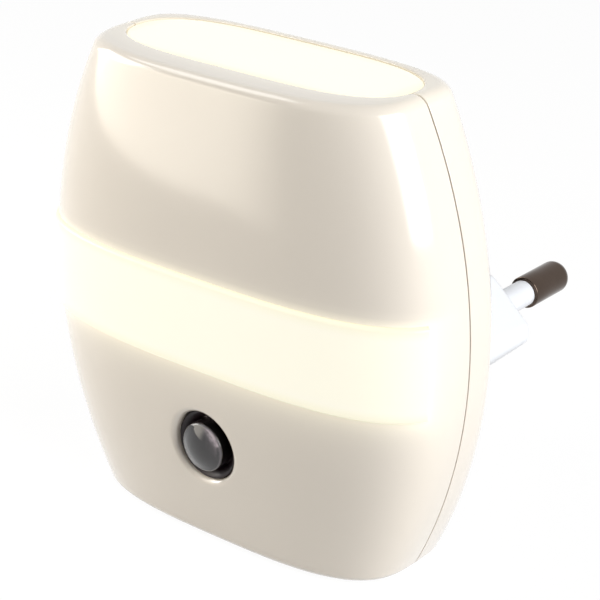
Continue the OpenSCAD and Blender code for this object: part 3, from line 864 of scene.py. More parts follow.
class NIGHTLIGHT_OT_top_window(bpy.types.Operator):
    """Build the lit window in the top"""

    bl_idname = "nightlight.top_window"
    bl_label = "Top window"

    def execute(self, context):
        scene = context.scene
        form = BodyForm(scene)
        d = scene.night_light_diffusers
        gap, edge = d.gap / MM, d.window_edge / MM

        def line(shrink, z, factor=1.0):
            a = d.window_width / MM / 2 - gap - shrink
            b = d.window_depth / MM / 2 - gap - shrink
            t = np.linspace(0, 2 * math.pi, WINDOW_POINTS, endpoint=False)
            x = factor * a * signed(np.cos(t), 2 / d.window_power_x)
            y = (d.window_back / MM
                 + factor * b * signed(np.sin(t), 2 / d.window_power_y))
            return [(px, py + form.part_y, z) for px, py in zip(x, y)]

        top, low = WINDOW_HIGH.z, WINDOW_LOW.z
        loops = [line(edge, top, f) for f in WINDOW_RINGS]
        loops += [line(edge * (1 - math.sin(a)), top - edge * (1 - math.cos(a)))
                  for a in quarter(5)]
        loops += [line(0, low + WINDOW_FLANGE_WALL),
                  line(-WINDOW_FLANGE, low + WINDOW_FLANGE_WALL), line(-WINDOW_FLANGE, low)]
        loops += [line(-WINDOW_FLANGE, low, f) for f in WINDOW_BACK_RINGS]
        verts, faces = loops_solid(loops)
        make_piece("window_diffuser", verts, faces, "lit_diffuser",
                   lit_window(scene), "top_window")
        return {"FINISHED"}


# ---- sensor, in millimetres ----

RING_LIP = 0.2          # Rounding between the ring's side and its funnel
RING_LIP_END = -110     # Degrees at which that rounding runs into the funnel
FUNNEL_DEPTH = 1.2      # From the funnel's start to the lens
FUNNEL_START = 0.15     # Share of that depth that the rounding takes
FUNNEL_DROP = 0.1       # How much deeper than the ring's rim the funnel lies
FUNNEL_RING = 0.4       # What the rounding takes of the ring's width
FUNNEL_FACES = 7
DOME_FACES = 24
LENS_SEAT = 0.02        # Clearance behind the lens


class NIGHTLIGHT_OT_sensor(bpy.types.Operator):
    """Build the sensor's black ring and clear lens"""

    bl_idname = "nightlight.sensor"
    bl_label = "Sensor"

    def execute(self, context):
        scene = context.scene
        form = BodyForm(scene)
        sensor = scene.night_light_sensor
        centre = (0, (RING_LOW.z + RING_HIGH.z) / 2)
        face, inner_face = (form.surface(True, 0, centre[1] - form.mid_z, inset) + form.part_y
                            for inset in (0, form.wall))
        rim = face + sensor.ring_recess / MM
        flange = inner_face + sensor.collar / MM + CLEAR
        seat, bottom = LENS_HIGH.y, RING_HIGH.y
        outer, lens = (RING_HIGH.x - RING_LOW.x) / 2, (LENS_HIGH.x - LENS_LOW.x) / 2
        hole = sensor.hole / MM / 2 - FIT
        cell = sensor.cell / MM / 2 + CLEAR
        profile = [(cell, bottom), (hole, bottom), (hole, flange + THIN_WALL),
                   (outer, flange + THIN_WALL), (outer, flange), (hole, flange)]
        profile += arc((hole - RING_LIP, rim + RING_LIP), RING_LIP, 0, RING_LIP_END,
                       ROUND_STEPS)
        profile += [(lens + FIT + (hole - lens - FUNNEL_RING) * (1 - t) ** 2,
                     rim + FUNNEL_DEPTH * t + FUNNEL_DROP)
                    for t in np.linspace(FUNNEL_START, 1, FUNNEL_FACES + 1)]
        profile += [(lens + FIT, seat + LENS_SEAT), (cell, seat + LENS_SEAT), (cell, bottom)]
        verts, faces = loops_solid(lathe(profile, centre))
        make_piece("sensor_ring_black", verts, faces, "sensor_black",
                   black_ring(scene), "sensor_ring")
        top, edge, dome = LENS_LOW.y, sensor.lens_edge / MM, sensor.dome / MM
        radius = (lens * lens + dome * dome) / (2 * dome)
        inner = lens - edge
        start = math.asin(inner / radius)
        rim_y = top + radius - radius * math.cos(start)
        profile = [(0, seat), (lens, seat)]
        profile += arc((inner, rim_y + edge), edge, 0, -90 + math.degrees(start), ROUND_STEPS)
        angles = [start * (1 - k / DOME_FACES) for k in range(1, DOME_FACES + 1)]
        profile += [(radius * math.sin(a), top + radius - radius * math.cos(a))
                    for a in angles]
        verts, faces = loops_solid(lathe(profile, centre))
        make_piece("sensor_lens_clear", verts, faces, "clear_lens",
                   clear_lens(scene), "sensor_lens")
        return {"FINISHED"}


# ---- plug and pins, in millimetres ----

PLUG_FLANGE = 2         # Width of the flange that holds the plug in the back shell
PLUG_FLANGE_WALL = 1.5
PLUG_FOOT = (4, 5)      # Places behind the flange where the plug's side has its first rings
PLUG_SIDE_RINGS = 6
EDGE_RING = 0.3         # Room for a ring before the end face's rounding
EDGE_STEPS = 7
BORE_TURNS = 64
END_FACE_SPACING = 2.4  # Sides of the triangles in the plug's two end faces
COLLAR = (0.8, 1)       # How far a pin's collar stands out inside the plug, and its length
FOOT_ROUND = 0.3        # Rounding of a pin's inner end
NECK_ROUND = 0.15       # Rounding where a pin widens behind its sleeve
NECK_RING = 3           # Place of a ring behind that
SLEEVE_ROUND = 0.18     # Rounding of a sleeve's end
SLEEVE_GAP = 0.02       # Clearance between a sleeve's end and the pin's neck


class NIGHTLIGHT_OT_plug(bpy.types.Operator):
    """Build the flat two-pin plug behind the body"""

    bl_idname = "nightlight.plug"
    bl_label = "Plug"

    def execute(self, context):
        scene = context.scene
        plug = scene.night_light_plug
        mid_x, mid_z = plug_middle()
        root, end_y = PLUG_LOW.y, PLUG_HIGH.y
        edge, wall, end = plug.edge / MM, plug.wall / MM, plug.end / MM

        def loop(grow, y):
            return [(mid_x + x, y, mid_z + z) for x, z in plug_line(scene, grow)]

        loops = [loop(PLUG_FLANGE, root), loop(PLUG_FLANGE, root + PLUG_FLANGE_WALL),
                 loop(0, root + PLUG_FLANGE_WALL), loop(0, root + PLUG_FOOT[0])]
        loops += [loop(0, y) for y in np.linspace(root + PLUG_FOOT[1],
                                                  end_y - edge - EDGE_RING, PLUG_SIDE_RINGS)]
        loops += [loop(-edge * (1 - math.cos(a)), end_y - edge + edge * math.sin(a))
                  for a in quarter(EDGE_STEPS)]
        verts, faces = loops_solid(loops)
        pin_x = (PIN_LOW.x + PIN_HIGH.x) / 2
        sleeve = (SLEEVE_HIGH.x - SLEEVE_LOW.x) / 2 + FIT
        core = plug.core / MM / 2 + FIT
        hollow = [loop(-wall, end_y - end), loop(-wall, root), loop(PLUG_FLANGE, root)]
        add_loops(verts, faces, hollow)
        for outline, y, radius in ((plug_line(scene, -edge), end_y, sleeve),
                                   (plug_line(scene, -wall), end_y - end, core)):
            holes = [circle_line(side * pin_x, 0, radius, BORE_TURNS)(0) for side in (-1, 1)]
            points, triangles = triangulate(outline, holes, END_FACE_SPACING)
            faces += [tuple(len(verts) + i for i in t) for t in triangles]
            verts += [(mid_x + x, y, mid_z + z) for x, z in sum([outline, *holes, points], [])]
        for side in (-1, 1):
            add_loops(verts, faces, lathe(
                [(sleeve, end_y), (sleeve, SLEEVE_LOW.y), (core, SLEEVE_LOW.y),
                 (core, end_y - end)], (side * pin_x, mid_z), BORE_TURNS))
        make_piece("plug_body", verts, faces, "plug_white", white_plug(scene), "plug_block")
        return {"FINISHED"}


class NIGHTLIGHT_OT_pins(bpy.types.Operator):
    """Build the two pins and their insulating sleeves"""

    bl_idname = "nightlight.pins"
    bl_label = "Pins"

    def execute(self, context):
        scene = context.scene
        plug = scene.night_light_plug
        mid_z = plug_middle()[1]
        core, tip = plug.core / MM / 2, plug.tip / MM
        radius, sleeve = (PIN_HIGH.x - PIN_LOW.x) / 2, (SLEEVE_HIGH.x - SLEEVE_LOW.x) / 2
        foot, neck, end_y = PIN_LOW.y, SLEEVE_HIGH.y, PIN_HIGH.y
        back = PLUG_HIGH.y - plug.end / MM
        out, long = COLLAR

        pin = [(0, foot)]
        pin += arc((core - FOOT_ROUND, foot + FOOT_ROUND), FOOT_ROUND, -90, 0, 4)
        pin += [(core, back - long), (core + out, back - long), (core + out, back),
                (core, back), (core, neck)]
        pin += arc((radius - NECK_ROUND, neck + NECK_ROUND), NECK_ROUND, -90, 0, 4)
        pin += [(radius, neck + NECK_RING), (radius, end_y - tip)]
        pin += arc((radius - tip, end_y - tip), tip, 0, 90, 12)[1:]
        pin += [(0, end_y)]

        bore, end = core + FIT, neck - SLEEVE_GAP
        cover = [(bore, SLEEVE_LOW.y), (sleeve, SLEEVE_LOW.y)]
        cover += arc((sleeve - SLEEVE_ROUND, end - SLEEVE_ROUND), SLEEVE_ROUND, 0, 90, 5)
        cover += [(bore, end), (bore, SLEEVE_LOW.y)]

        for side, word in ((1, "right"), (-1, "left")):
            centre = (side * (PIN_LOW.x + PIN_HIGH.x) / 2, mid_z)
            make_piece(f"pin_{word}", *loops_solid(lathe(pin, centre)), "nickel_pin",
                       nickel(scene), f"{word}_pin")
            make_piece(f"sleeve_{word}", *loops_solid(lathe(cover, centre)), "plug_white",
                       white_plug(scene), f"{word}_sleeve")
        return {"FINISHED"}


# ---- effects shared by the finishes ----

def effect(name, inputs, outputs):
    """Empty shader node group with named sockets, and its input and output nodes."""
    tree = bpy.data.node_groups.new(name, "ShaderNodeTree")
    for label, value in inputs:
        socket = tree.interface.new_socket(label, in_out="INPUT",
                                           socket_type="NodeSocketFloat")
        socket.default_value = value
    for label in outputs:
        tree.interface.new_socket(label, in_out="OUTPUT", socket_type="NodeSocketFloat")
    return tree, tree.nodes.new("NodeGroupInput"), tree.nodes.new("NodeGroupOutput")


def math_node(tree, operation, *values):
    """Output of a sum over numbers and sockets."""
    node = tree.nodes.new("ShaderNodeMath")
    node.operation = operation
    for i, value in enumerate(values):
        if isinstance(value, (int, float)):
            node.inputs[i].default_value = value
        else:
            tree.links.new(value, node.inputs[i])
    return node.outputs[0]


def place(tree, stretch=(1, 1, 1)):
    """Position on the piece in millimetres, stretched along the axes."""
    spot = tree.nodes.new("ShaderNodeTexCoord")
    mapping = tree.nodes.new("ShaderNodeMapping")
    mapping.inputs["Scale"].default_value = [s / MM for s in stretch]
    tree.links.new(spot.outputs["Object"], mapping.inputs["Vector"])
    return mapping.outputs["Vector"]


def noise(tree, vector, size, detail=2.0, rough=0.5):
    """Noise whose marks are about size millimetres wide; size may be a socket."""
    node = tree.nodes.new("ShaderNodeTexNoise")
    node.inputs["Detail"].default_value = detail
    node.inputs["Roughness"].default_value = rough
    tree.links.new(vector, node.inputs["Vector"])
    if isinstance(size, (int, float)):
        node.inputs["Scale"].default_value = 1 / size
    else:
        tree.links.new(math_node(tree, "DIVIDE", 1.0, size), node.inputs["Scale"])
    return node.outputs["Fac"]


def moulded_surface():
    """Faint waviness, fine grain and cloudy gloss of a moulded plastic."""
    name = "moulded_surface"
    if name in bpy.data.node_groups:
        return bpy.data.node_groups[name]
    tree, sockets, result = effect(name, [
        ("Wave Size", 5.0), ("Grain Size", 0.25), ("Grain", 0.2), ("Roughness", 0.3),
        ("Cloudiness", 0.05)], ["Height", "Roughness", "Shade"])
    spot = place(tree)
    wave = noise(tree, spot, sockets.outputs["Wave Size"], 1.0)
    grain = noise(tree, spot, sockets.outputs["Grain Size"], 3.0)
    height = math_node(tree, "ADD", wave,
                       math_node(tree, "MULTIPLY", grain, sockets.outputs["Grain"]))
    tree.links.new(height, result.inputs["Height"])
    cloud = math_node(tree, "SUBTRACT", noise(tree, spot, 9.0, 4.0), 0.5)
    cloud = math_node(tree, "MULTIPLY", cloud, sockets.outputs["Cloudiness"])
    tree.links.new(math_node(tree, "ADD", sockets.outputs["Roughness"], cloud),
                   result.inputs["Roughness"])
    tree.links.new(math_node(tree, "ADD", 0.5, cloud), result.inputs["Shade"])
    return tree


def fine_scratches():
    """Hairlines and handling marks of a plated metal."""
    name = "fine_scratches"
    if name in bpy.data.node_groups:
        return bpy.data.node_groups[name]
    tree, sockets, result = effect(name, [
        ("Line Size", 0.12), ("Roughness", 0.2), ("Spread", 0.15)],
        ["Height", "Roughness", "Stain"])
    along = noise(tree, place(tree, (1, 0.05, 1)), sockets.outputs["Line Size"], 3.0, 0.6)
    cross = noise(tree, place(tree, (0.08, 1, 0.08)), sockets.outputs["Line Size"], 2.0, 0.6)
    both = math_node(tree, "ADD", math_node(tree, "MULTIPLY", along, 0.7),
                     math_node(tree, "MULTIPLY", cross, 0.3))
    tree.links.new(both, result.inputs["Height"])
    varied = math_node(tree, "MULTIPLY", math_node(tree, "SUBTRACT", both, 0.5),
                       sockets.outputs["Spread"])
    tree.links.new(math_node(tree, "ADD", sockets.outputs["Roughness"], varied),
                   result.inputs["Roughness"])
    tree.links.new(noise(tree, place(tree), 1.6, 4.0, 0.65), result.inputs["Stain"])
    return tree


# ---- finishes ----

class Finish:
    """Material with a Principled shader and short ways to feed it."""

    def __init__(self, name):
        self.material = bpy.data.materials.new(name)
        self.material.use_nodes = True
        self.tree = self.material.node_tree
        self.shader = self.tree.nodes["Principled BSDF"]

    def node(self, kind):
        return self.tree.nodes.new(kind)

    def link(self, output, socket):
        self.tree.links.new(output, self.shader.inputs[socket])

    def set(self, **values):
        """Plain values of the shader's sockets, by their names in small letters."""
        for key, value in values.items():
            self.shader.inputs[key.replace("_", " ").title().replace("Ior", "IOR")
                               ].default_value = value

    def group(self, tree, **values):
        """Node of an effect with its values, by their names in small letters."""
        node = self.node("ShaderNodeGroup")
        node.node_tree = tree
        for key, value in values.items():
            node.inputs[key.replace("_", " ").title()].default_value = value
        return node

    def mix(self, factor, first, second):
        """Colour between two colours or colour outputs."""
        node = self.node("ShaderNodeMix")
        node.data_type = "RGBA"
        node.clamp_factor = True
        for value, socket in ((factor, node.inputs[0]), (first, node.inputs[6]),
                              (second, node.inputs[7])):
            if isinstance(value, bpy.types.NodeSocket):
                self.tree.links.new(value, socket)
            elif hasattr(value, "__len__"):
                socket.default_value = (*value[:3], 1)
            else:
                socket.default_value = value
        return node.outputs[2]

    def bump(self, height, strength, deep):
        """Fine relief that is deep millimetres, of which strength is a share."""
        node = self.node("ShaderNodeBump")
        node.inputs["Strength"].default_value = strength
        node.inputs["Distance"].default_value = deep * MM
        self.tree.links.new(height, node.inputs["Height"])
        self.link(node.outputs["Normal"], "Normal")

    def surface(self, tree, strength, deep, **values):
        """Group of an effect that gives the gloss and the fine relief."""
        group = self.group(tree, **values)
        self.link(group.outputs["Roughness"], "Roughness")
        self.bump(group.outputs["Height"], strength, deep)
        return group

    def mask(self, name):
        """Mask of that name, which the piece's points carry."""
        node = self.node("ShaderNodeAttribute")
        node.attribute_name = name
        return node.outputs["Fac"]

    def ramp(self, factor, stops, smooth=True):
        """Colour by a factor, from (place, colour) stops, blended or in plain steps."""
        node = self.node("ShaderNodeValToRGB")
        node.color_ramp.interpolation = "LINEAR" if smooth else "CONSTANT"
        elements = node.color_ramp.elements
        elements[0].position, elements[0].color = stops[0][0], (*stops[0][1], 1)
        elements[1].position, elements[1].color = stops[-1][0], (*stops[-1][1], 1)
        for position, shade in stops[1:-1]:
            elements.new(position).color = (*shade, 1)
        self.tree.links.new(factor, node.inputs["Fac"])
        return node.outputs["Color"]

    def axis_share(self, axis, low_mm, high_mm):
        """0 to 1 along an axis of the row frame, between two places."""
        spot = self.node("ShaderNodeTexCoord")
        split = self.node("ShaderNodeSeparateXYZ")
        self.tree.links.new(spot.outputs["Object"], split.inputs[0])
        scale = self.node("ShaderNodeMapRange")
        scale.inputs["From Min"].default_value = low_mm * MM
        scale.inputs["From Max"].default_value = high_mm * MM
        self.tree.links.new(split.outputs[axis], scale.inputs["Value"])
        return scale.outputs["Result"]


def known(name):
    """A material that is already there, for pieces that share it."""
    return bpy.data.materials.get(name)


def shades(base, light):
    """A colour made darker, light being the share that is left."""
    return [c * light for c in base]


def plastic(name, base, rough, cloud, relief):
    """Moulded plastic: cloudy colour and gloss over a faint waviness."""
    finish = Finish(name)
    group = finish.surface(moulded_surface(), relief, 0.05, roughness=rough,
                           cloudiness=cloud, wave_size=6.0)
    finish.link(finish.mix(group.outputs["Shade"], shades(base, 0.94), base), "Base Color")
    finish.set(ior=1.5)
    return finish


def cream_shell(scene):
    """Glossy cream plastic, with painted shade in the seam, round the openings and inside, and
    lit beside the diffusers.
    """
    if known("moulded_cream"):
        return known("moulded_cream")
    colours = scene.night_light_finish
    base = list(colours.shell)
    finish = Finish("moulded_cream")
    group = finish.surface(moulded_surface(), 0.12, 0.05, roughness=0.16, cloudiness=0.04,
                           wave_size=7.0, grain=0.12)
    cream = finish.mix(group.outputs["Shade"], shades(base, 0.97), base)
    # Painted shade: the seam's dark colour is mixed in where the mask of depth below the skin is
    # high.
    finish.link(finish.mix(finish.mask("groove"), cream, list(colours.groove)),
                "Base Color")
    finish.link(finish.mix(finish.mask("spill"), (0, 0, 0), list(colours.spill)),
                "Emission Color")
    finish.set(ior=1.5, coat_weight=1.0, coat_roughness=0.11, emission_strength=0.28)
    return finish.material


BAND_FADE = 1.4             # Way from the band's edges to its full light
WINDOW_FADE = (2.5, 1.8)    # The same across and along the window
FADE_ROUNDING = 0.3         # How gently the light comes to its full strength


def glow(finish, scene, mask):
    """Feeds a lit diffuser's glow, and its base colour as painted light, from a mask that is 1 in
    its middle and 0 at its edges.
    """
    colours = scene.night_light_finish
    group = finish.surface(moulded_surface(), 0.08, 0.05, roughness=0.35, cloudiness=0.08)
    uneven = finish.node("ShaderNodeMapRange")
    uneven.inputs["To Min"].default_value = 0.9
    uneven.inputs["To Max"].default_value = 1.1
    finish.tree.links.new(group.outputs["Shade"], uneven.inputs["Value"])
    factor = math_node(finish.tree, "MULTIPLY", mask, uneven.outputs["Result"])
    finish.link(finish.mix(factor, list(colours.glow_edge), list(colours.glow)),
                "Emission Color")
    # Painted light: the base colour follows the same lit mask, lighter in the middle and darker
    # at the edges.
    finish.link(finish.mix(factor, list(colours.diffuser_shaded_edge), list(colours.diffuser)),
                "Base Color")
    finish.set(emission_strength=0.66, ior=1.5)


def edge_mask(finish, axis, low, high, soft):
    """1 in the middle between two places on an axis, 0 at both within soft mm."""
    tree = finish.tree
    along = finish.axis_share(axis, low, high)
    near = math_node(tree, "MINIMUM", along, math_node(tree, "SUBTRACT", 1.0, along))
    return math_node(tree, "SMOOTH_MIN", 1.0,
                     math_node(tree, "MULTIPLY", near, (high - low) / soft), FADE_ROUNDING)


def lit_band(scene):
    """Lit band, a little darker along its upper and lower edge."""
    finish = Finish("lit_band")
    middle = (BAND_LOW.z + BAND_HIGH.z) / 2
    half = scene.night_light_diffusers.band_height / MM / 2
    glow(finish, scene, edge_mask(finish, "Z", middle - half, middle + half, BAND_FADE))
    return finish.material


def lit_window(scene):
    """Lit window, a little darker round its edge."""
    finish = Finish("lit_window")
    d = scene.night_light_diffusers
    half_x, half_y = d.window_width / MM / 2, d.window_depth / MM / 2
    y = d.window_back / MM + BodyForm(scene).part_y
    mask = math_node(finish.tree, "MULTIPLY",
                     edge_mask(finish, "X", -half_x, half_x, WINDOW_FADE[0]),
                     edge_mask(finish, "Y", y - half_y, y + half_y, WINDOW_FADE[1]))
    glow(finish, scene, mask)
    return finish.material


def black_ring(scene):
    """Satin black plastic."""
    finish = plastic("ring_black", list(scene.night_light_finish.black), rough=0.3,
                     cloud=0.08, relief=0.1)
    finish.set(specular_ior_level=0.3)
    return finish.material


def clear_lens(scene):
    """Smoky clear resin."""
    colours = scene.night_light_finish
    finish = Finish("clear_lens")
    group = finish.surface(moulded_surface(), 0.05, 0.03, roughness=0.05, cloudiness=0.03,
                           wave_size=3.0)
    finish.link(finish.mix(group.outputs["Shade"], list(colours.lens_dark),
                           list(colours.lens)), "Base Color")
    finish.set(transmission_weight=1.0, ior=1.55, coat_weight=0.4, coat_roughness=0.03)
    return finish.material


def white_plug(scene):
    """Bluish white plastic of the plug and the sleeves."""
    return known("moulded_white") or plastic(
        "moulded_white", list(scene.night_light_finish.plug), rough=0.32, cloud=0.08,
        relief=0.12).material


def metal(name, base, stain, rough, line):
    """Plated metal with hairlines and a slight uneven tarnish."""
    finish = Finish(name)
    group = finish.surface(fine_scratches(), 0.15, 0.02, roughness=rough, line_size=line)
    finish.link(finish.mix(group.outputs["Stain"], base, stain), "Base Color")
    finish.set(metallic=1.0)
    return finish.material


def nickel(scene):
    """Plated metal of the pins, whose colour is darkened as a painted reflection of dark
    surroundings.
    """
    base = list(scene.night_light_finish.nickel)
    return known("plated_nickel_painted_dark") or metal("plated_nickel_painted_dark", base, shades(base, 0.8),
                                           rough=0.16, line=0.12)


def zinc(scene):
    """Zinc of the screws."""
    base = list(scene.night_light_finish.zinc)
    return metal("zinc_steel", base, shades(base, 0.7), rough=0.3, line=0.08)


# Inner parts of one plain plastic: its name, colour, roughness and relief.
PLAIN_PARTS = {
    "reflector": ("white_reflector", "F4F2EC", 0.45, 0.2),
    "film_capacitor": ("film_box", "D9A83A", 0.35, 0.3),
    "switch_transistor": ("transistor_black", "18171A", 0.5, 0.4),
    "live_wire": ("live_insulation", "6E4325", 0.4, 0.2),
    "neutral_wire": ("neutral_insulation", "2A5CA8", 0.4, 0.2),
}
# Inner parts with coloured rings: the finish's name, the axis, the lacquer's colour, the
# shares of the length between which it lies, and each ring's two shares and colour.
BANDED_PARTS = {
    "bleed_resistor": ("resistor_tan", "Z", "D8B98A", (0.13, 0.88), (
        (0.22, 0.3, "8A3A1E"), (0.38, 0.46, "1A1614"), (0.56, 0.64, "C8872B"),
        (0.76, 0.84, "B08D3A"))),
    "fuse_resistor": ("resistor_blue", "Z", "6E93A8", (0.13, 0.88), (
        (0.24, 0.32, "C22B22"), (0.42, 0.5, "5B2E8A"), (0.62, 0.7, "1A1614"))),
    "rectifier_diodes": ("semiconductor", "X", "1B1A1C", (0.24, 0.77), (
        (0.64, 0.71, "D5D5D2"),)),
    "zener_diode": ("zener_glass", "X", "B5642C", (0.28, 0.73), (
        (0.6, 0.68, "16120F"),)),
}
TIN = "C9C6C0"


class NIGHTLIGHT_OT_inner_parts(bpy.types.Operator):
    """Give the parts inside the body and the screws their finishes"""

    bl_idname = "nightlight.inner_parts"
    bl_label = "Inner parts"

    def execute(self, context):
        screws = zinc(context.scene)
        finishes = {
            "photocell": photocell_finish(),
            "circuit_board": board_finish(),
            "leds": lamp_finish(),
            "smoothing_capacitor": can_finish(),
            "case_screws": screws,
            "board_screws": screws,
        }
        for node, (name, code, rough, relief) in PLAIN_PARTS.items():
            finishes[node] = plastic(name, linear(code), rough, 0.1, relief).material
        for node, values in BANDED_PARTS.items():
            finishes[node] = banded(node, *values)
        for node, material in finishes.items():
            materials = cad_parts[node].data.materials
            materials.clear()
            materials.append(material)
        return {"FINISHED"}


def photocell_finish():
    """Dark resin with a pale winding track across its face."""
    finish = Finish("photocell")
    track = finish.node("ShaderNodeTexWave")
    track.inputs["Scale"].default_value = 0.35
    track.inputs["Distortion"].default_value = 0.4
    finish.tree.links.new(place(finish.tree), track.inputs["Vector"])
    finish.link(finish.mix(track.outputs["Fac"], linear("2A1A14"), linear("0D0A0A")),
                "Base Color")
    finish.surface(moulded_surface(), 0.2, 0.03, roughness=0.3, cloudiness=0.1)
    return finish.material


def board_finish():
    """Green solder mask over copper tracks, with woven glass showing through."""
    finish = Finish("board")
    tree = finish.tree
    tracks = finish.node("ShaderNodeTexBrick")
    tracks.inputs["Scale"].default_value = 0.22
    tracks.inputs["Mortar Size"].default_value = 0.06
    turn = finish.node("ShaderNodeMapping")
    turn.inputs["Rotation"].default_value = (math.pi / 2, 0, 0)
    tree.links.new(place(tree), turn.inputs["Vector"])
    tree.links.new(turn.outputs["Vector"], tracks.inputs["Vector"])
    for socket, code in (("Color1", "1F5C34"), ("Color2", "236338"), ("Mortar", "3F8A55")):
        tracks.inputs[socket].default_value = (*linear(code), 1)
    weave = finish.group(moulded_surface(), roughness=0.35, cloudiness=0.1, grain_size=0.5,
                         grain=0.8)
    finish.link(finish.mix(weave.outputs["Shade"], tracks.outputs["Color"],
                           linear("2B6E42")), "Base Color")
    finish.link(weave.outputs["Roughness"], "Roughness")
    finish.bump(tracks.outputs["Fac"], 0.3, 0.04)
    return finish.material


def lamp_finish():
    """Clear resin lamps with yellow phosphor near their base."""
    finish = Finish("led_resin")
    low, high = mm_box("leds")
    along = finish.axis_share("Y", low.y, high.y)
    shade = finish.ramp(along, [(0, linear("FFFDF0")), (0.5, linear("FFF3C0")),
                                (1, linear("E8C24A"))])
    finish.link(shade, "Base Color")
    finish.link(shade, "Emission Color")
    finish.surface(moulded_surface(), 0.05, 0.03, roughness=0.15, cloudiness=0.05)
    finish.set(emission_strength=0.6, ior=1.53)
    return finish.material


def can_finish():
    """Dark sleeve with a pale stripe and a bare aluminium top."""
    finish = Finish("capacitor_can")
    low, high = mm_box("smoothing_capacitor")
    stripe = finish.ramp(finish.axis_share("X", low.x, high.x), [
        (0, linear("1E2A4E")), (0.8, linear("9AA3B8")), (1, linear("9AA3B8"))], smooth=False)
    top = math_node(finish.tree, "LESS_THAN", finish.axis_share("Y", low.y, high.y), 0.03)
    finish.link(finish.mix(top, stripe, linear("B8BABC")), "Base Color")
    finish.surface(moulded_surface(), 0.2, 0.03, roughness=0.3, cloudiness=0.1)
    return finish.material


def banded(node, name, axis, lacquer, reach, rings):
    """Lacquered part with coloured rings along an axis and bare legs at its ends."""
    finish = Finish(name)
    low, high = mm_box(node)
    along = finish.axis_share(axis, getattr(low, axis.lower()), getattr(high, axis.lower()))
    stops = [(0, TIN), (reach[0], lacquer)]
    for start, end, code in rings:
        stops += [(start, code), (end, lacquer)]
    stops.append((reach[1], TIN))
    finish.link(finish.ramp(along, [(p, linear(code)) for p, code in stops], smooth=False),
                "Base Color")
    finish.surface(moulded_surface(), 0.3, 0.04, roughness=0.35, cloudiness=0.12,
                   wave_size=1.5)
    return finish.material


# ---- stage, in metres ----

FLOOR_RINGS = (0.05, 0.2, 0.8, 3.0)
FLOOR_POINTS = 48
SIDE_PANEL = ((0.394, -0.04, 0.19), (0.38, 0.36))       # Place from the body's middle, size
LEFT_PANEL = ((-0.331, -0.113, 0.12), (0.2, 0.2))
HIGH_PANEL = ((-0.25, -0.083, 0.338), (0.2, 0.15))
FRONT_PANEL = ((-0.1186, -0.0846, 0.0386), (0.2125, 0.085))
FRONT_TARGET = Vector((0.0176, 0.0276, 0.0386))         # What the front panel faces
FRONT_TINT = (1, 0.93, 0.8)
FRONT_ROLL = math.radians(-14.6)
SIDE_FADE = (0, 0.36)
FRONT_FADE = (1, 0.72)
CAMERA_CLIP = (0.005, 20)


def look_at(obj, place_at, target):
    """Puts a lamp or camera in its place and turns it to a target."""
    obj.location = place_at
    obj.rotation_mode = "QUATERNION"
    obj.rotation_quaternion = (Vector(target) - Vector(place_at)).to_track_quat("-Z", "Y")


def panel_lamp(name, middle, panel, radiance, target=Vector((0, 0, 0)), tint=(1, 1, 1),
               roll=0.0, fade=None):
    """Soft rectangular lamp that gives the radiance, and which the camera can't see.

    The fade is the two shares of its width between which it comes to full strength."""
    place_at, (width, height) = panel
    lamp = bpy.data.lights.new(name, "AREA")
    lamp.shape = "RECTANGLE"
    lamp.size, lamp.size_y = width, height
    lamp.energy = radiance * math.pi * width * height
    lamp.color = tint
    obj = bpy.data.objects.new(name, lamp)
    bpy.context.scene.collection.objects.link(obj)
    look_at(obj, middle + Vector(place_at), middle + target)
    obj.rotation_quaternion @= Quaternion((0, 0, 1), roll)
    obj.visible_camera = False
    if fade:
        lamp.use_nodes = True
        tree = lamp.node_tree
        across = tree.nodes.new("ShaderNodeSeparateXYZ")
        tree.links.new(tree.nodes.new("ShaderNodeNewGeometry").outputs["Parametric"],
                       across.inputs[0])
        ramp = tree.nodes.new("ShaderNodeMapRange")
        ramp.interpolation_type = "SMOOTHSTEP"
        ramp.inputs["From Min"].default_value, ramp.inputs["From Max"].default_value = fade
        tree.links.new(across.outputs["X"], ramp.inputs["Value"])
        tree.links.new(ramp.outputs["Result"], tree.nodes["Emission"].inputs["Strength"])


def seen_directly(tree):
    """1 for camera, glossy and transmission rays, 0 for diffuse light."""
    path = tree.nodes.new("ShaderNodeLightPath")
    seen = math_node(tree, "MAXIMUM", path.outputs["Is Camera Ray"],
                     path.outputs["Is Glossy Ray"])
    return math_node(tree, "MAXIMUM", seen, path.outputs["Is Transmission Ray"])


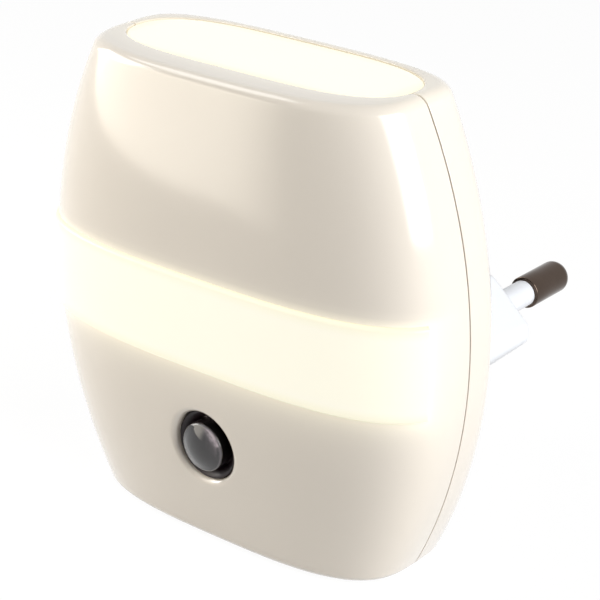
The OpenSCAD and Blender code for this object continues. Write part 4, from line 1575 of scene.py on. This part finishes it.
def make_floor(scene, height):
    """Round floor whose white is partly even, so that it is seen as plain as a backdrop."""
    stage = scene.night_light_stage
    grey = stage.floor_grey
    mesh = bpy.data.meshes.new("floor")
    work = bmesh.new()
    rings = [[work.verts.new((r * math.cos(a), r * math.sin(a), height))
              for a in np.linspace(0, 2 * math.pi, FLOOR_POINTS, endpoint=False)]
             for r in FLOOR_RINGS]
    work.faces.new(rings[0])
    for low, high in zip(rings, rings[1:]):
        for i in range(FLOOR_POINTS):
            work.faces.new((low[i - 1], low[i], high[i], high[i - 1]))
    bmesh.ops.recalc_face_normals(work, faces=work.faces)
    if work.faces[0].normal.z < 0:
        bmesh.ops.reverse_faces(work, faces=work.faces)
    work.to_mesh(mesh)
    work.free()
    floor = bpy.data.objects.new("floor", mesh)
    scene.collection.objects.link(floor)

    material = bpy.data.materials.new("floor")
    material.use_nodes = True
    tree = material.node_tree
    shader = tree.nodes["Principled BSDF"]
    shader.inputs["Base Color"].default_value = (grey, grey, grey, 1)
    shader.inputs["Roughness"].default_value = 0.9
    shader.inputs["Specular IOR Level"].default_value = 0.1
    white = tree.nodes.new("ShaderNodeEmission")
    white.inputs["Strength"].default_value = stage.floor_white
    blend = tree.nodes.new("ShaderNodeMixShader")
    tree.links.new(math_node(tree, "MULTIPLY", seen_directly(tree), stage.floor_plain),
                   blend.inputs[0])
    tree.links.new(shader.outputs[0], blend.inputs[1])
    tree.links.new(white.outputs[0], blend.inputs[2])
    tree.links.new(blend.outputs[0], tree.nodes["Material Output"].inputs[0])
    mesh.materials.append(material)


def make_world(scene):
    """White all round for what is seen or mirrored, and dim where it only gives light."""
    world = bpy.data.worlds.new("studio")
    scene.world = world
    world.use_nodes = True
    tree = world.node_tree
    back = tree.nodes["Background"]
    back.inputs["Color"].default_value = (1, 1, 1, 1)
    strength = tree.nodes.new("ShaderNodeMapRange")
    strength.inputs["To Min"].default_value = scene.night_light_stage.ambient
    strength.inputs["To Max"].default_value = 1.0
    tree.links.new(seen_directly(tree), strength.inputs["Value"])
    tree.links.new(strength.outputs["Result"], back.inputs["Strength"])


def make_camera(scene, middle):
    """Camera that sees the night light as the photograph does."""
    stage = scene.night_light_stage
    az, el = stage.azimuth, stage.elevation
    back_way = Vector((math.sin(az) * math.cos(el), -math.cos(az) * math.cos(el),
                       math.sin(el)))
    aim = middle + Vector((stage.aim_side, 0, stage.aim_up))
    data = bpy.data.cameras.new("camera")
    data.lens, data.sensor_width = stage.focal, SENSOR_WIDTH
    data.clip_start, data.clip_end = CAMERA_CLIP
    camera = bpy.data.objects.new("camera", data)
    scene.collection.objects.link(camera)
    look_at(camera, aim + back_way * stage.distance, aim)
    scene.camera = camera


class NIGHTLIGHT_OT_stage(bpy.types.Operator):
    """Make the floor, the surroundings, the soft lamps and the camera"""

    bl_idname = "nightlight.stage"
    bl_label = "Stage"

    def execute(self, context):
        scene = context.scene
        stage = scene.night_light_stage
        form = BodyForm(scene)
        scene.view_settings.view_transform = "Standard"
        middle = Vector((0, form.part_y, form.mid_z)) * MM
        make_floor(scene, FRONT_LOW.z * MM)
        make_world(scene)
        panel_lamp("side_panel", middle, SIDE_PANEL, stage.side_light, fade=SIDE_FADE)
        panel_lamp("left_panel", middle, LEFT_PANEL, stage.left_light)
        panel_lamp("high_panel", middle, HIGH_PANEL, stage.high_light)
        panel_lamp("front_panel", middle, FRONT_PANEL, stage.front_light,
                   FRONT_TARGET, FRONT_TINT, FRONT_ROLL, FRONT_FADE)
        make_camera(scene, middle)
        return {"FINISHED"}


class NIGHTLIGHT_PT_panel(bpy.types.Panel):
    """Lists the steps that build the night light, and their settings"""

    bl_idname = "NIGHTLIGHT_PT_panel"
    bl_label = "Night Light"
    bl_space_type = "VIEW_3D"
    bl_region_type = "UI"
    bl_category = "Night Light"

    def draw(self, context):
        for step in STEPS:
            self.layout.operator(step.bl_idname)
        for name in SETTINGS:
            box = self.layout.box()
            group = getattr(context.scene, name)
            box.label(text=group.bl_rna.description)
            for key in group.bl_rna.properties.keys():
                if key not in ("rna_type", "name"):
                    box.prop(group, key)


SETTINGS = {
    "night_light_body": NightLightBody,
    "night_light_diffusers": NightLightDiffusers,
    "night_light_sensor": NightLightSensor,
    "night_light_plug": NightLightPlug,
    "night_light_finish": NightLightFinish,
    "night_light_stage": NightLightStage,
}
STEPS = (
    NIGHTLIGHT_OT_front_shell,
    NIGHTLIGHT_OT_back_shell,
    NIGHTLIGHT_OT_front_band,
    NIGHTLIGHT_OT_top_window,
    NIGHTLIGHT_OT_sensor,
    NIGHTLIGHT_OT_plug,
    NIGHTLIGHT_OT_pins,
    NIGHTLIGHT_OT_inner_parts,
    NIGHTLIGHT_OT_stage,
)


def register():
    for item in (*SETTINGS.values(), *STEPS, NIGHTLIGHT_PT_panel):
        bpy.utils.register_class(item)
    for name, item in SETTINGS.items():
        setattr(bpy.types.Scene, name, PointerProperty(type=item))


def unregister():
    for name in SETTINGS:
        delattr(bpy.types.Scene, name)
    for item in reversed((*SETTINGS.values(), *STEPS, NIGHTLIGHT_PT_panel)):
        bpy.utils.unregister_class(item)


def main():
    """Builds everything."""
    register()
    for step in STEPS:
        group, name = step.bl_idname.split(".")
        getattr(getattr(bpy.ops, group), name)()


if __name__ == "__main__":
    main()
